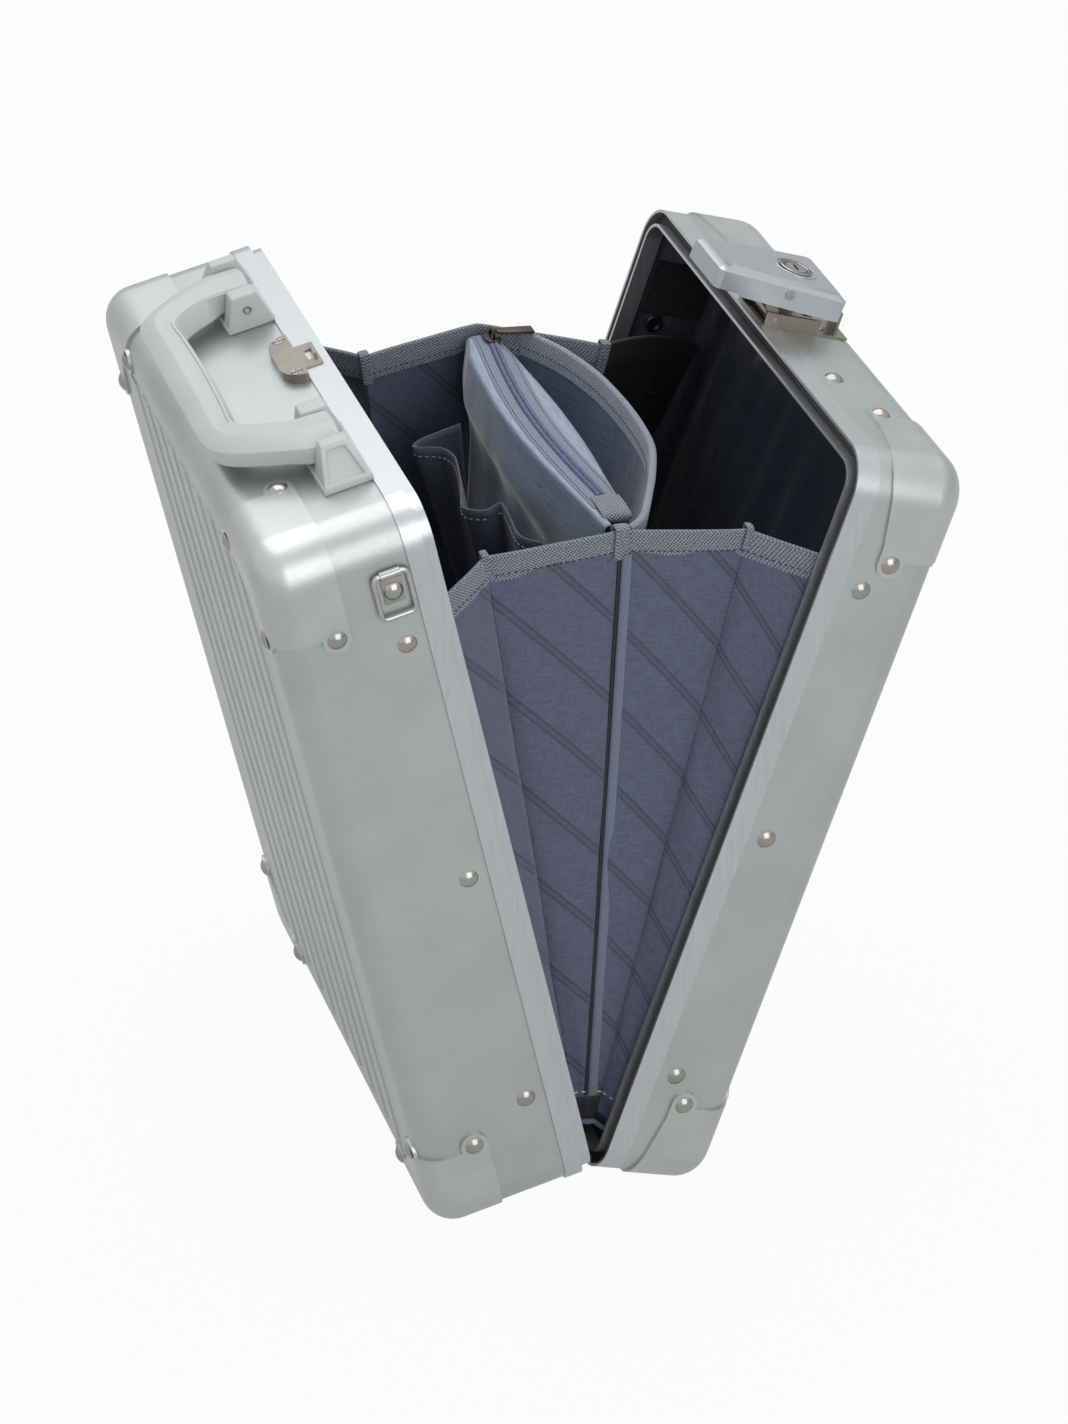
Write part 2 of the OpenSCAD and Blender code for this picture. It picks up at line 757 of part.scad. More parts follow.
module carry_handle() color([0.78, 0.79, 0.79]) {
    arm_in = bracket_y + inner_ear_t + side_gap;
    arm_end = bracket_y + bracket_l - outer_ear_t - side_gap;
    arm_w = arm_end - arm_in;
    arm_y = (arm_in + arm_end) / 2;
    grip_r = grip_w / 2;
    grip_x = pivot_s - grip_s + grip_r;
    elbow = [-(grip_s - pivot_s) * elbow_part, arm_y - 5];
    in_handle_half() translate([-pivot_s, 0, case_h + pivot_h]) difference() {
        union() {
            bar([grip_x, -grip_y + grip_r], grip_r, [grip_x, grip_y - grip_r], grip_r);
            both_sides() {
                bar([grip_x, grip_y - grip_r], grip_r, elbow, grip_r + 2);
                bar(elbow, grip_r + 2, [-arm_root, arm_y - 2], arm_w / 2 - 2.5);
                translate([-arm_root, arm_in, 0]) cube([arm_root + arm_front, arm_w, grip_t - arm_low]);
                translate([0, arm_y, 0]) cross_bar(hub_d, arm_w);
            }
        }
        both_sides() translate([0, arm_y, 0]) cross_bar(handle_pin_d + 2 * run_gap, arm_w + 2 * cut);
        // keeps the sides of the arms clear of the ears
        both_sides() for (y = [[bracket_y - cut, arm_in], [arm_end, arm_end + outer_ear_t]])
            translate([-arm_root - cut, y[0], -grip_t]) cube([2 * arm_root, y[1] - y[0], 3 * grip_t]);
    }
}

module handle_pins() color([0.75, 0.73, 0.70]) {
    pin_end = bracket_y + bracket_l - outer_ear_t / 2 - side_gap;
    in_handle_half() translate([-pivot_s, 0, case_h + pivot_h]) both_sides() {
        translate([0, pin_end, 0]) rotate([90, 0, 0]) cylinder(d = handle_pin_d, h = pin_end - bracket_y);
        translate([0, bracket_y, 0]) rotate([90, 0, 0]) cylinder(d = handle_pin_d + 2 * pin_head_t, h = pin_head_t);
    }
}

// ---- Strike plate ----

module strike_plate() color([0.74, 0.72, 0.68]) {
    low = flange_t;
    slot_from = claw_s - claw_gap;
    slot_to = claw_s + claw_t + claw_gap;
    in_handle_half() translate([0, latch_y, case_h]) difference() {
        union() {
            translate([-strike_to - strike_w, strike_w - strike_half, 0])
                cube([strike_w, 2 * (strike_half - strike_w), strike_h]);
            both_sides() intersection() {
                translate([-strike_to, strike_half - strike_w, 0]) cylinder(r = strike_w, h = strike_h);
                translate([-strike_to - strike_w, 0, 0]) cube([strike_w, strike_half, strike_h]);
            }
            translate([-strike_to - cut, -tab_half, low]) cube([strike_to + cut - tab_end, 2 * tab_half, tab_t]);
            translate([slot_to, -claw_half, low]) cube([lip_t, 2 * claw_half, lip_h]);
        }
        translate([slot_from, -claw_half - side_gap, low - cut])
            cube([slot_to - slot_from, 2 * (claw_half + side_gap), tab_t + 2 * cut]);
        strike_screw_places() {
            translate([0, 0, -cut]) cylinder(d = shank_d + 2 * run_gap, h = strike_h + 2 * cut);
            translate([0, 0, strike_h - sink_h]) cylinder(d1 = shank_d, d2 = screw_d + side_gap, h = sink_h);
        }
    }
}

module strike_screw_places() {
    for (y = [-screw_y, screw_y]) translate([-strike_to - strike_w / 2 + 1, y, 0]) children();
}

module strike_screws() color([0.70, 0.70, 0.70]) {
    in_handle_half() translate([0, latch_y, case_h]) strike_screw_places() difference() {
        union() {
            cylinder(d = shank_d, h = strike_h - screw_h / 2);
            translate([0, 0, strike_h - screw_h]) cylinder(d1 = shank_d, d2 = screw_d - side_gap, h = screw_h);
        }
        for (turn = [0, 90]) rotate([0, 0, turn])
            translate([-screw_d, -slot_w / 2, strike_h - slot_w]) cube([2 * screw_d, slot_w, cut]);
    }
}

// ---- Strap rings ----

module ring_place() {
    in_handle_half() translate([-ring_s, case_w / 2, ring_z]) children();
}

module both_rings() {
    ring_place() children();
    in_handle_half() mirror([0, 1, 0]) translate([-ring_s, case_w / 2, ring_z]) children();
}

module ring_clips() color([0.80, 0.80, 0.80]) both_rings() difference() {
    union() {
        translate([-clip_w / 2, 0, -clip_drop]) cube([clip_w, clip_t, clip_drop]);
        translate([-clip_w / 2, bar_out, 0]) rotate([0, 90, 0]) cylinder(r = bar_out, h = clip_w);
    }
    translate([-clip_w, bar_out, 0]) rotate([0, 90, 0]) cylinder(d = wire_d + 2 * run_gap, h = 2 * clip_w);
    translate([0, -cut, ring_rivet_z - ring_z]) rotate([-90, 0, 0]) cylinder(d = hole_d, h = clip_t + 2 * cut);
}

module ring_rivets() color([0.75, 0.73, 0.70]) both_rings()
    translate([0, 0, ring_rivet_z - ring_z]) rotate([-90, 0, 0]) rivet(clip_t, 0);

module strap_ring() {
    half_w = ring_w / 2 - wire_d / 2 - ring_turn;
    half_h = ring_h / 2 - wire_d / 2 - ring_turn;
    translate([0, bar_out, -half_h - ring_turn]) rotate([90, 0, 0]) for (m = [0, 1], n = [0, 1])
        mirror([m, 0, 0]) mirror([0, n, 0]) {
            translate([half_w, half_h, 0]) rotate_extrude(angle = 90) translate([ring_turn, 0]) circle(d = wire_d);
            translate([half_w + ring_turn, 0, 0]) rotate([-90, 0, 0]) cylinder(d = wire_d, h = half_h);
            translate([0, half_h + ring_turn, 0]) rotate([0, 90, 0]) cylinder(d = wire_d, h = half_w);
        }
}

module strap_ring_far() color([0.80, 0.80, 0.80]) ring_place() strap_ring();

module strap_ring_near() color([0.80, 0.80, 0.80])
    in_handle_half() mirror([0, 1, 0]) translate([-ring_s, case_w / 2, ring_z]) strap_ring();

// ---- Latch ----

module base_rivet_places() {
    for (place = BASE_RIVETS)
        translate([latch_y + place[0], case_h, place[1]]) rotate([-90, 0, 0]) children();
}

module latch_base() color([0.72, 0.70, 0.66]) {
    catch_z = base_pin_h + cover_top - key_len + cam_t + 2 * side_gap;
    catch_x = base_pin_s + link_l + key_x + cam_l + side_gap;
    in_lock_half() translate([0, latch_y, case_h]) difference() {
        union() {
            translate([base_from, -base_half, 0]) cube([base_to - base_from, 2 * base_half, base_floor]);
            both_sides() translate([base_from + 1, base_half - base_wall, 0])
                cube([base_to - base_from - base_side, base_wall, base_top]);
            translate([catch_x, -catch_w / 2, 0]) cube([base_wall, catch_w, catch_z + base_wall]);
            translate([catch_x - catch_in, -catch_w / 2, catch_z]) cube([catch_in, catch_w, base_wall]);
        }
        translate([base_pin_s, 0, base_pin_h]) cross_bar(latch_pin_d + run_gap, 2 * base_half + 2 * cut);
        for (place = BASE_RIVETS) translate([place[1], place[0], -cut])
            cylinder(d = hole_d, h = base_floor + 2 * cut);
    }
}

module latch_base_rivets() color([0.75, 0.73, 0.70]) {
    lock_plan() base_rivet_places() {
        translate([0, 0, -rivet_grip]) cylinder(d = shank_d, h = rivet_grip + base_floor + base_head_t / 2);
        translate([0, 0, base_floor]) cylinder(d = base_head_d, h = base_head_t);
    }
}

module base_pin() color([0.60, 0.60, 0.60]) {
    in_lock_half() translate([base_pin_s, latch_y, case_h + base_pin_h]) cross_bar(latch_pin_d, 2 * base_half);
}

module latch_link() color([0.72, 0.70, 0.66]) {
    in_link() difference() {
        union() {
            both_sides() translate([0, arm_out, 0]) rotate([90, 0, 0]) {
                cylinder(r = arm_r, h = arm_t);
                translate([link_l, 0, 0]) cylinder(r = arm_r, h = arm_t);
                translate([0, -arm_r, 0]) cube([link_l, 2 * arm_r, arm_t]);
            }
            cross_bar(2 * eye_r, 2 * arm_out - arm_t);
        }
        cross_bar(latch_pin_d + 2 * run_gap, 2 * arm_out + 2 * cut);
        translate([link_l, 0, 0]) cross_bar(latch_pin_d + run_gap, 2 * arm_out + 2 * cut);
    }
}

module link_pin() color([0.60, 0.60, 0.60]) {
    in_link() translate([link_l, 0, 0]) cross_bar(latch_pin_d, 2 * arm_out);
}

// Outline of the cover in plan, drawn in by an inset
module cover_plan(inset, h) {
    r = 3;
    for (e = [[cover_left, cover_w1, 1], [cover_left + cover_l, cover_w2, -1]])
        both_sides() translate([e[0] + e[2] * (inset + r), e[1] / 2 - inset - r, 0])
            cylinder(r = r, h = h, $fn = 24);
}

module cover_block(inset, low, top) {
    hull() {
        translate([0, 0, low]) cover_plan(inset, top - cover_bevel * 0.7 - low);
        translate([0, 0, low]) cover_plan(inset + cover_bevel, top - low);
    }
}

module latch_cover() color([0.62, 0.65, 0.69]) {
    in_cover() difference() {
        union() {
            difference() {
                cover_block(0, cover_low - skirt_drop, cover_top);
                cover_block(cover_t, cover_low - skirt_drop - cut, ceiling);
                translate([cover_left - cut, -cover_w2, cover_low - skirt_drop - cut])
                    cube([skirt_step + cut, 2 * cover_w2, skirt_drop + cut]);
            }
            both_sides() translate([0, lug_out, 0]) rotate([90, 0, 0]) {
                cylinder(r = eye_r, h = lug_t);
                translate([-eye_r, 0, 0]) cube([2 * eye_r, ceiling + cover_t / 2, lug_t]);
            }
        }
        cross_bar(latch_pin_d + 2 * run_gap, 2 * lug_out + 2 * cut);
        translate([key_x, 0, ceiling - cut]) cylinder(d = key_d + 2 * run_gap, h = cover_t + 2 * cut);
    }
}

module draw_hook() color([0.70, 0.70, 0.68]) {
    foot_x = claw_x + 6.5;
    in_cover() {
        translate([claw_x, -claw_half, claw_low]) cube([claw_t, 2 * claw_half, hook_z - claw_low + claw_t]);
        translate([claw_x, -claw_half, hook_z]) cube([foot_x + 4 - claw_x, 2 * claw_half, claw_t]);
        translate([foot_x, -claw_half, hook_z]) cube([4, 2 * claw_half, ceiling - hook_z]);
    }
}

module key_bezel() color([0.70, 0.71, 0.72]) {
    slot = (bezel_l - bezel_w) / 2;
    in_cover() translate([key_x, 0, cover_top]) difference() {
        union() {
            for (x = [-slot, slot]) translate([x, 0, 0]) cylinder(d = bezel_w, h = bezel_t);
            translate([-slot, -bezel_w / 2, 0]) cube([2 * slot, bezel_w, bezel_t]);
        }
        translate([0, 0, -cut]) cylinder(d = key_d + 2 * run_gap, h = bezel_t + 2 * cut);
    }
}

module key_cylinder() color([0.55, 0.55, 0.56]) {
    in_cover() translate([key_x, 0, cover_top]) difference() {
        union() {
            translate([0, 0, -key_len]) cylinder(d = key_d, h = key_len + bezel_t);
            translate([-2.5, -cam_l, -key_len]) cube([5, cam_l, cam_t]);
        }
        translate([-0.8, -3.2, bezel_t - 3]) cube([1.6, 6.4, 3 + cut]);
    }
}

// ---- Fabric ----

function fan(angle, r, y) = [hinge_x + r * sin(angle), y, hinge_z + r * cos(angle)];

// Place on a fold line, each line given as [angle at the top, y at the top, y low, angle low]
function fold_top(f, r) = fan(f[0], r, f[1]);
function fold_low(f, r) = fan(f[3], r, f[2]);

module corner_bead(place) {
    translate(place) sphere(fold_r, $fn = 8);
}

// A panel between two fold lines, as two flat triangles
module panel(a, b, top, low) {
    hull() {
        corner_bead(fold_top(a, top));
        corner_bead(fold_low(a, low));
        corner_bead(fold_low(b, low));
    }
    hull() {
        corner_bead(fold_top(a, top));
        corner_bead(fold_top(b, top));
        corner_bead(fold_low(b, low));
    }
}

module panels(lines, top, low) {
    for (i = [0 : len(lines) - 2]) panel(lines[i], lines[i + 1], top, low);
}

// Fold lines where the fabric meets the halves, inside the tray and inside the lip
function handle_edge(s) = [-lean_a - atan(edge_in / cloth_top), s * handle_edge_y, s * handle_edge_y,
    -lean_a - atan(edge_in / cloth_low)];
function lock_edge(s) = [lean_b + atan(edge_in / cloth_top), s * lock_edge_y, s * lock_edge_y,
    lean_b + atan(edge_in / cloth_low)];

// The far side is sewn into the deep corner of the lock half's tray at its top
function deep_edge(s) = [lean_b + atan(deep_in / cloth_top), s * deep_y, s * lock_edge_y, lock_edge(s)[3]];

module gusset(folds, s, last) {
    panels(concat([handle_edge(s)], folds, [last]), cloth_top, cloth_low);
}

module near_gusset() color([0.30, 0.34, 0.42]) gusset(NEAR_FOLDS, -1, lock_edge(-1));
module far_gusset() color([0.30, 0.34, 0.42]) gusset(FAR_FOLDS, 1, deep_edge(1));

module bag_floor() color([0.20, 0.22, 0.26]) {
    low = cloth_low - 2 * fold_r - side_gap;
    for (e = [[-lean_a - floor_past, divider_a], [divider_a, lean_b + floor_past]]) hull() for (a = e)
        translate(fan(a, low, 0)) cross_bar(2 * fold_r, floor_l, $fn = 8);
}

// Panel on the divider plane; it stands on the bag's floor and carries the pouch
module divider_panel() color([0.27, 0.31, 0.38]) {
    near = near_y + 2 * fold_r + side_gap;
    far = far_y - 2 * fold_r - side_gap;
    low = cloth_low;
    in_fan(divider_a) rotate([90, 0, 90]) linear_extrude(2 * fold_r, center = true)
        polygon([
            [near - near_flare, low], [far + far_flare, low], [far, pouch_low - side_gap],
            [pouch_near - side_gap, pouch_low - side_gap], [pouch_near - side_gap, pouch_top], [near, pouch_top]
        ]);
}

// Half width of the pouch along the hinge, for a mouth of full width w
pouch_mid = (pouch_near + pouch_far) / 2 + 8;
LENS = [[pouch_near, 0.28], [pouch_mid - 55, 0.42], [pouch_mid, 0.5], [pouch_mid + 48, 0.42], [pouch_far, 0.28]];

module pouch_lens(w) {
    last = len(LENS) - 1;
    polygon(concat(
        [for (e = LENS) [w * e[1], e[0]]],
        [for (i = [0 : last]) [-w * LENS[last - i][1], LENS[last - i][0]]]
    ));
}

// Half width of the pouch on the two flat faces between two places of the lens, s along and t up
function face_half(narrow, wide, s, t) = pouch_seam * narrow + (t > s
    ? s * pouch_w * (wide - narrow) + t * (pouch_w - pouch_seam) * narrow
    : s * pouch_seam * (wide - narrow) + t * (pouch_w - pouch_seam) * wide);

// Half width of the pouch at a place y and a height r over the hinge axis
function pouch_half(y, r) =
    let (
        i = [for (k = [0 : len(LENS) - 2]) if (y >= LENS[k][0] && y <= LENS[k + 1][0]) k][0],
        a = LENS[i],
        b = LENS[i + 1],
        s = (y - a[0]) / (b[0] - a[0]),
        t = (r - pouch_low) / pouch_h
    )
    a[1] < b[1] ? face_half(a[1], b[1], s, t) : face_half(b[1], a[1], 1 - s, t);

module zip_pouch() color([0.33, 0.40, 0.50]) {
    in_fan(divider_a) hull() {
        translate([0, 0, pouch_top - 1]) linear_extrude(1) pouch_lens(pouch_w);
        translate([0, 0, pouch_low]) linear_extrude(1) pouch_lens(pouch_seam);
    }
}

module zip_tape() color([0.26, 0.31, 0.46]) {
    in_fan(divider_a) translate([zip_off - zip_w / 2, pouch_near, pouch_top])
        cube([zip_w, pouch_far - pouch_near, zip_t]);
}

// The slider's bail is a round bar along the zip on two posts; the pull's eye turns on it
module zip_slider() color([0.30, 0.27, 0.24]) {
    in_fan(divider_a) translate([zip_off, slider_y, pouch_top + zip_t + side_gap]) {
        translate([-slider_w / 2, -slider_l / 2, 0]) cube([slider_w, slider_l, slider_t]);
        both_sides() translate([-post_t / 2, bail_l / 2, slider_t]) cube([post_t, post_t, bail_h]);
        translate([0, 0, slider_t + bail_h - post_t / 2]) cross_bar(bail_d, bail_l + post_t);
    }
}

module zip_pull() color([0.30, 0.27, 0.24]) {
    eye_d = bail_d + 2 * run_gap + 1.4;
    in_fan(divider_a)
        translate([zip_off, slider_y, pouch_top + zip_t + side_gap + slider_t + bail_h - post_t / 2])
        difference() {
            union() {
                cross_bar(eye_d, bail_l - 2 * side_gap);
                translate([0, -(bail_l / 2 - side_gap), -eye_d / 2]) cube([5, bail_l - 2 * side_gap, pull_t]);
                translate([4, -pull_w / 2, -eye_d / 2]) cube([pull_l - 4, pull_w, pull_t]);
            }
            cross_bar(bail_d + 2 * run_gap, bail_l);
            translate([pull_l - 7, 0, -eye_d / 2 - cut]) cylinder(d = 3, h = pull_t + 2 * cut);
        }
}

// The slack panel hangs off the divider on a seam below the pouch
function slack_fold(f) = [f[0], f[1], f[1], divider_a + asin((2 * fold_r + side_gap) / slack_low)];

module slack_panel() color([0.25, 0.29, 0.36]) {
    panels([for (f = SLACK) slack_fold(f)], cloth_top, slack_low);
}

// The pen pocket lies against the pouch at both ends and along its foot
function on_pouch(y, r) = divider_a - asin((pouch_half(y, r) + fold_r + pocket_gap) / r);
function pocket_end(y) = [on_pouch(y, pocket_top), y, y, on_pouch(y, pocket_low)];
function pocket_fold(f) = [f[0], f[1], f[1], on_pouch(f[1], pocket_low)];

module pen_pocket() color([0.28, 0.32, 0.40]) {
    panels(concat([pocket_end(pocket_ends[0])], [for (f = POCKET) pocket_fold(f)], [pocket_end(pocket_ends[1])]),
        pocket_top, pocket_low);
}

handle_shell();
handle_frame();
handle_caps();
handle_rivets();
handle_lining();
lock_shell();
lock_frame();
frame_seal();
lock_caps();
lock_rivets();
lock_lining();
bracket_near();
bracket_far();
carry_handle();
handle_pins();
strike_plate();
strike_screws();
ring_clips();
ring_rivets();
strap_ring_near();
strap_ring_far();
hinge_leaf_handle();
hinge_leaf_lock();
hinge_pins();
latch_base();
latch_base_rivets();
base_pin();
latch_link();
link_pin();
latch_cover();
draw_hook();
key_bezel();
key_cylinder();
near_gusset();
far_gusset();
bag_floor();
divider_panel();
zip_pouch();
zip_tape();
zip_slider();
zip_pull();
slack_panel();
pen_pocket();
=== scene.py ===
import math
from itertools import accumulate

import bmesh
import bpy
from mathutils import Matrix, Vector, noise


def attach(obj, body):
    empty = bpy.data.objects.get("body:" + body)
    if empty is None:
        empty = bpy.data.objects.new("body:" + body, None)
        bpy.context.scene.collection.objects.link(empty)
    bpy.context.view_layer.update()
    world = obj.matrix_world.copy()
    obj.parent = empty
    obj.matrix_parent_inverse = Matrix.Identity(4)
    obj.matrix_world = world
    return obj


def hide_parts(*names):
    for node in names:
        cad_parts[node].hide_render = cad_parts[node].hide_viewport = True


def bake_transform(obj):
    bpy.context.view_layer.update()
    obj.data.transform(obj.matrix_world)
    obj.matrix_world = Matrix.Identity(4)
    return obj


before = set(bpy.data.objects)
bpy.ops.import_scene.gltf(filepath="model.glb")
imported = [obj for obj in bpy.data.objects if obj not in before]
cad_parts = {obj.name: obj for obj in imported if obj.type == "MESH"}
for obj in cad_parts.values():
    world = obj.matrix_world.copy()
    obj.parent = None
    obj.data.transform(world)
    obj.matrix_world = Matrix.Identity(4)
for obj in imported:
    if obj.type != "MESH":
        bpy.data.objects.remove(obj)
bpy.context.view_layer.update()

scene = bpy.context.scene

# ---- The case's measures, in millimetres and degrees, and the frames of its halves ----

HINGE = Vector((-7.48949747, 0.0, 12.13515918))
LEAN_A = 12.4
LEAN_B = 17.98786547
HINGE_DROP = 4.2
CASE_W = 300.0
CASE_H = 415.0
DEPTH_A = 82.0
DEPTH_B = 60.0
CORNER_R = 20.0
EDGE_R = 15.0
DIVIDER = 3.0
CLOTH_TOP = 362.0
CLOTH_LOW = 34.0
POUCH_TOP = 357.5
POUCH_LOW = 152.5
POUCH_NEAR = -79.0
POUCH_FAR = 101.0
ZIP_OFF = 4.0
SLIDER_Y = 94.5
LATCH_Y = 12.0
PIVOT_X = -23.7
PIVOT_Z = 426.0
BOTH = (-1, 1)


def turned(angle):
    return Matrix.Translation(HINGE) @ Matrix.Rotation(math.radians(angle), 4, "Y")


HANDLE = turned(-LEAN_A) @ Matrix.Translation((0, 0, HINGE_DROP))
LOCK = turned(LEAN_B) @ Matrix.Translation((0, 0, HINGE_DROP))
MIDDLE = turned(DIVIDER)
WORLD = Matrix.Identity(4)


def fan(angle, height, y):
    """Place at a height over the hinge axis in the plane through it at that angle."""
    a = math.radians(angle)
    return HINGE + Vector((height * math.sin(a), y, height * math.cos(a)))


def from_hinge(point):
    return Vector((point.x - HINGE.x, 0, point.z - HINGE.z))


def within(share):
    return min(max(share, 0.0), 1.0)


def drift(x, y, z):
    """Value that wanders smoothly with the place, between -1 and 1."""
    return noise.noise(Vector((x, y, z)))


def srgb(red, green, blue):
    """Colour as it is seen on a screen, from 0 to 255, as the shader takes it."""
    return tuple(
        v / 12.92 if v <= 0.04045 else ((v + 0.055) / 1.055) ** 2.4
        for v in (red / 255, green / 255, blue / 255)
    ) + (1.0,)


# ---- Finishes ----


class Graph:
    """The shader nodes of a material or the world."""

    def __init__(self, owner):
        owner.use_nodes = True
        self.nodes = owner.node_tree.nodes
        self.links = owner.node_tree.links

    def add(self, kind, settings=None, **inputs):
        made = self.nodes.new("ShaderNode" + kind)
        for key, value in (settings or {}).items():
            setattr(made, key, value)
        for key, value in inputs.items():
            self.feed(made.inputs[key.replace("_", " ")], value)
        return made

    def feed(self, socket, value):
        if isinstance(value, bpy.types.NodeSocket):
            self.links.new(value, socket)
        else:
            socket.default_value = value

    def sum(self, operation, *values):
        made = self.add("Math", {"operation": operation})
        for socket, value in zip(made.inputs, values):
            self.feed(socket, value)
        return made.outputs[0]

    def ramp(self, value, low, high, to_low=0.0, to_high=1.0):
        made = self.add("MapRange", {"interpolation_type": "SMOOTHSTEP"}, Value=value)
        for socket, number in zip(list(made.inputs)[1:5], (low, high, to_low, to_high)):
            socket.default_value = number
        return made.outputs[0]

    def mix(self, share, first, second):
        made = self.add("Mix", {"data_type": "RGBA"})
        for index, value in ((0, share), (6, first), (7, second)):
            self.feed(made.inputs[index], value)
        return made.outputs[2]


class Finish(Graph):
    """A material that is built up from patterns measured in millimetres."""

    def __init__(self, name, colour, roughness, metallic=0.0, by_uv=False, **sockets):
        self.material = bpy.data.materials.new(name)
        super().__init__(self.material)
        self.sockets = self.nodes["Principled BSDF"].inputs
        self.sockets["Base Color"].default_value = srgb(*colour)
        self.sockets["Roughness"].default_value = roughness
        self.sockets["Metallic"].default_value = metallic
        for socket, value in sockets.items():
            self.sockets[socket.replace("_", " ")].default_value = value
        place = self.add("TexCoord").outputs
        if by_uv:
            self.place = place["UV"]
        else:
            self.place = self.add("Mapping", Vector=place["Object"], Scale=(1000, 1000, 1000)).outputs[0]

    def stretched(self, x, y, z=1.0):
        return self.add("Mapping", Vector=self.place, Scale=(x, y, z)).outputs[0]

    def grain(self, size, detail=3.0, place=None):
        """Soft spots of about that size in millimetres, around 0.5."""
        return self.add(
            "TexNoise", Vector=place or self.place, Scale=1.0 / size, Detail=detail, Roughness=0.55
        ).outputs["Fac"]

    def tones(self, value, dark, light, low=0.3, high=0.7):
        """Base colour that goes from the dark to the light colour with the value."""
        mixed = self.mix(self.ramp(value, low, high), srgb(*dark), srgb(*light))
        self.links.new(mixed, self.sockets["Base Color"])

    def rough(self, value, low, high):
        self.links.new(self.ramp(value, 0.3, 0.7, low, high), self.sockets["Roughness"])

    def relief(self, *layers):
        """Bumps, each as (height, depth in millimetres), laid over each other."""
        below = {}
        for height, depth in layers:
            bump = self.add("Bump", Height=height, Distance=depth / 1000, Strength=1.0, **below)
            below = {"Normal": bump.outputs[0]}
        self.links.new(below["Normal"], self.sockets["Normal"])

    def across_and_along(self):
        return self.add("SeparateXYZ", Vector=self.place).outputs[:2]

    def wave(self, value, pitch):
        return self.sum("SINE", self.sum("MULTIPLY", value, 2 * math.pi / pitch))

    def weave(self, pitch, weft=1.0):
        """Threads of a plain cloth, over and under each other."""
        u, v = self.across_and_along()
        return self.sum("MULTIPLY", self.wave(u, pitch), self.wave(v, pitch / weft))


def satin_aluminium():
    made = Finish("satin_aluminium", (176, 180, 180), 0.4, 0.8)
    made.tones(made.grain(40, 4), (173, 177, 177), (180, 184, 184))
    made.rough(made.grain(1.4, 4), 0.36, 0.44)
    made.relief((made.grain(0.5, 2), 0.012))
    return made.material


def extruded_aluminium():
    made = Finish("extruded_aluminium", (188, 191, 193), 0.34, 0.84)
    streaks = made.grain(0.9, 3, made.stretched(1.0, 1.0, 0.03))
    made.tones(streaks, (185, 188, 190), (192, 195, 197))
    made.rough(streaks, 0.31, 0.38)
    made.relief((streaks, 0.004))
    return made.material


def pressed_caps():
    made = Finish("pressed_caps", (184, 187, 187), 0.37, 0.8)
    made.tones(made.grain(22, 4), (181, 184, 184), (188, 191, 191))
    made.rough(made.grain(1.2, 4), 0.33, 0.41)
    made.relief((made.grain(0.5, 2), 0.012), (made.grain(30, 1), 0.05))
    return made.material


def bright_metal(name, light, dark, roughness, spot=3.0):
    made = Finish(name, light, roughness, 0.95)
    made.tones(made.grain(spot * 5, 1), dark, light)
    made.rough(made.grain(spot * 2, 1), roughness * 0.94, roughness * 1.08)
    return made.material


def grip_plastic():
    made = Finish("grip_plastic", (190, 193, 194), 0.5, Coat_Weight=0.06, Coat_Roughness=0.35)
    pores = made.grain(0.7, 2)
    made.tones(made.grain(30, 3), (187, 190, 191), (193, 196, 197))
    made.rough(pores, 0.46, 0.58)
    made.relief((pores, 0.03))
    return made.material


def cover_metal():
    made = Finish("cover_metal", (176, 180, 185), 0.3, 0.7)
    made.tones(made.grain(0.35, 2), (172, 176, 181), (180, 184, 189), 0.35, 0.65)
    made.rough(made.grain(8, 3), 0.27, 0.34)
    return made.material


def rubber():
    made = Finish("rubber", (26, 26, 28), 0.6)
    made.tones(made.grain(3, 3), (20, 20, 22), (34, 34, 36))
    made.relief((made.grain(0.8, 3), 0.05))
    return made.material


LINE_SLOPE = 1.06
LINE_RUN = 1.457
LINE_PITCH = 29.6
BAND_DARK = (52, 57, 76)
LINE_DARK = (36, 40, 58)


def quilted_cloth(name="quilted_cloth", light=(85, 92, 116), dark=(71, 77, 99), striped=True, sheen=0.25):
    """Fine nylon with pairs of dark threads running down across it."""
    made = Finish(name, light, 0.62, by_uv=True, Sheen_Weight=sheen, Sheen_Roughness=0.45)
    threads = made.sum("MULTIPLY", made.grain(0.9, 2, made.stretched(0.12, 1.0)), 0.6)
    crossed = made.sum("MULTIPLY", made.grain(0.9, 2, made.stretched(1.0, 0.12)), 0.4)
    cloth = made.mix(made.ramp(made.sum("ADD", threads, crossed), 0.38, 0.62), srgb(*dark), srgb(*light))
    layers = [(made.weave(0.62), 0.05), (made.grain(1.6, 3), 0.08)]
    if striped:
        u, v = made.across_and_along()
        slanted = made.sum("ADD", v, made.sum("MULTIPLY", u, LINE_SLOPE))
        down = made.sum("MULTIPLY", slanted, 1 / LINE_RUN)
        lane = made.sum("SUBTRACT", made.sum("FLOORED_MODULO", down, LINE_PITCH), LINE_PITCH / 2)
        away = made.sum("ABSOLUTE", lane)
        band = made.ramp(away, 1.7, 2.3, 1.0, 0.0)
        lines = made.ramp(made.sum("ABSOLUTE", made.sum("SUBTRACT", away, 1.45)), 0.3, 0.85, 1.0, 0.0)
        cloth = made.mix(made.sum("MULTIPLY", band, 0.3), cloth, srgb(*BAND_DARK))
        cloth = made.mix(made.sum("MULTIPLY", lines, 0.5), cloth, srgb(*LINE_DARK))
        layers.append((band, -0.1))
    made.links.new(cloth, made.sockets["Base Color"])
    made.relief(*layers)
    return made.material


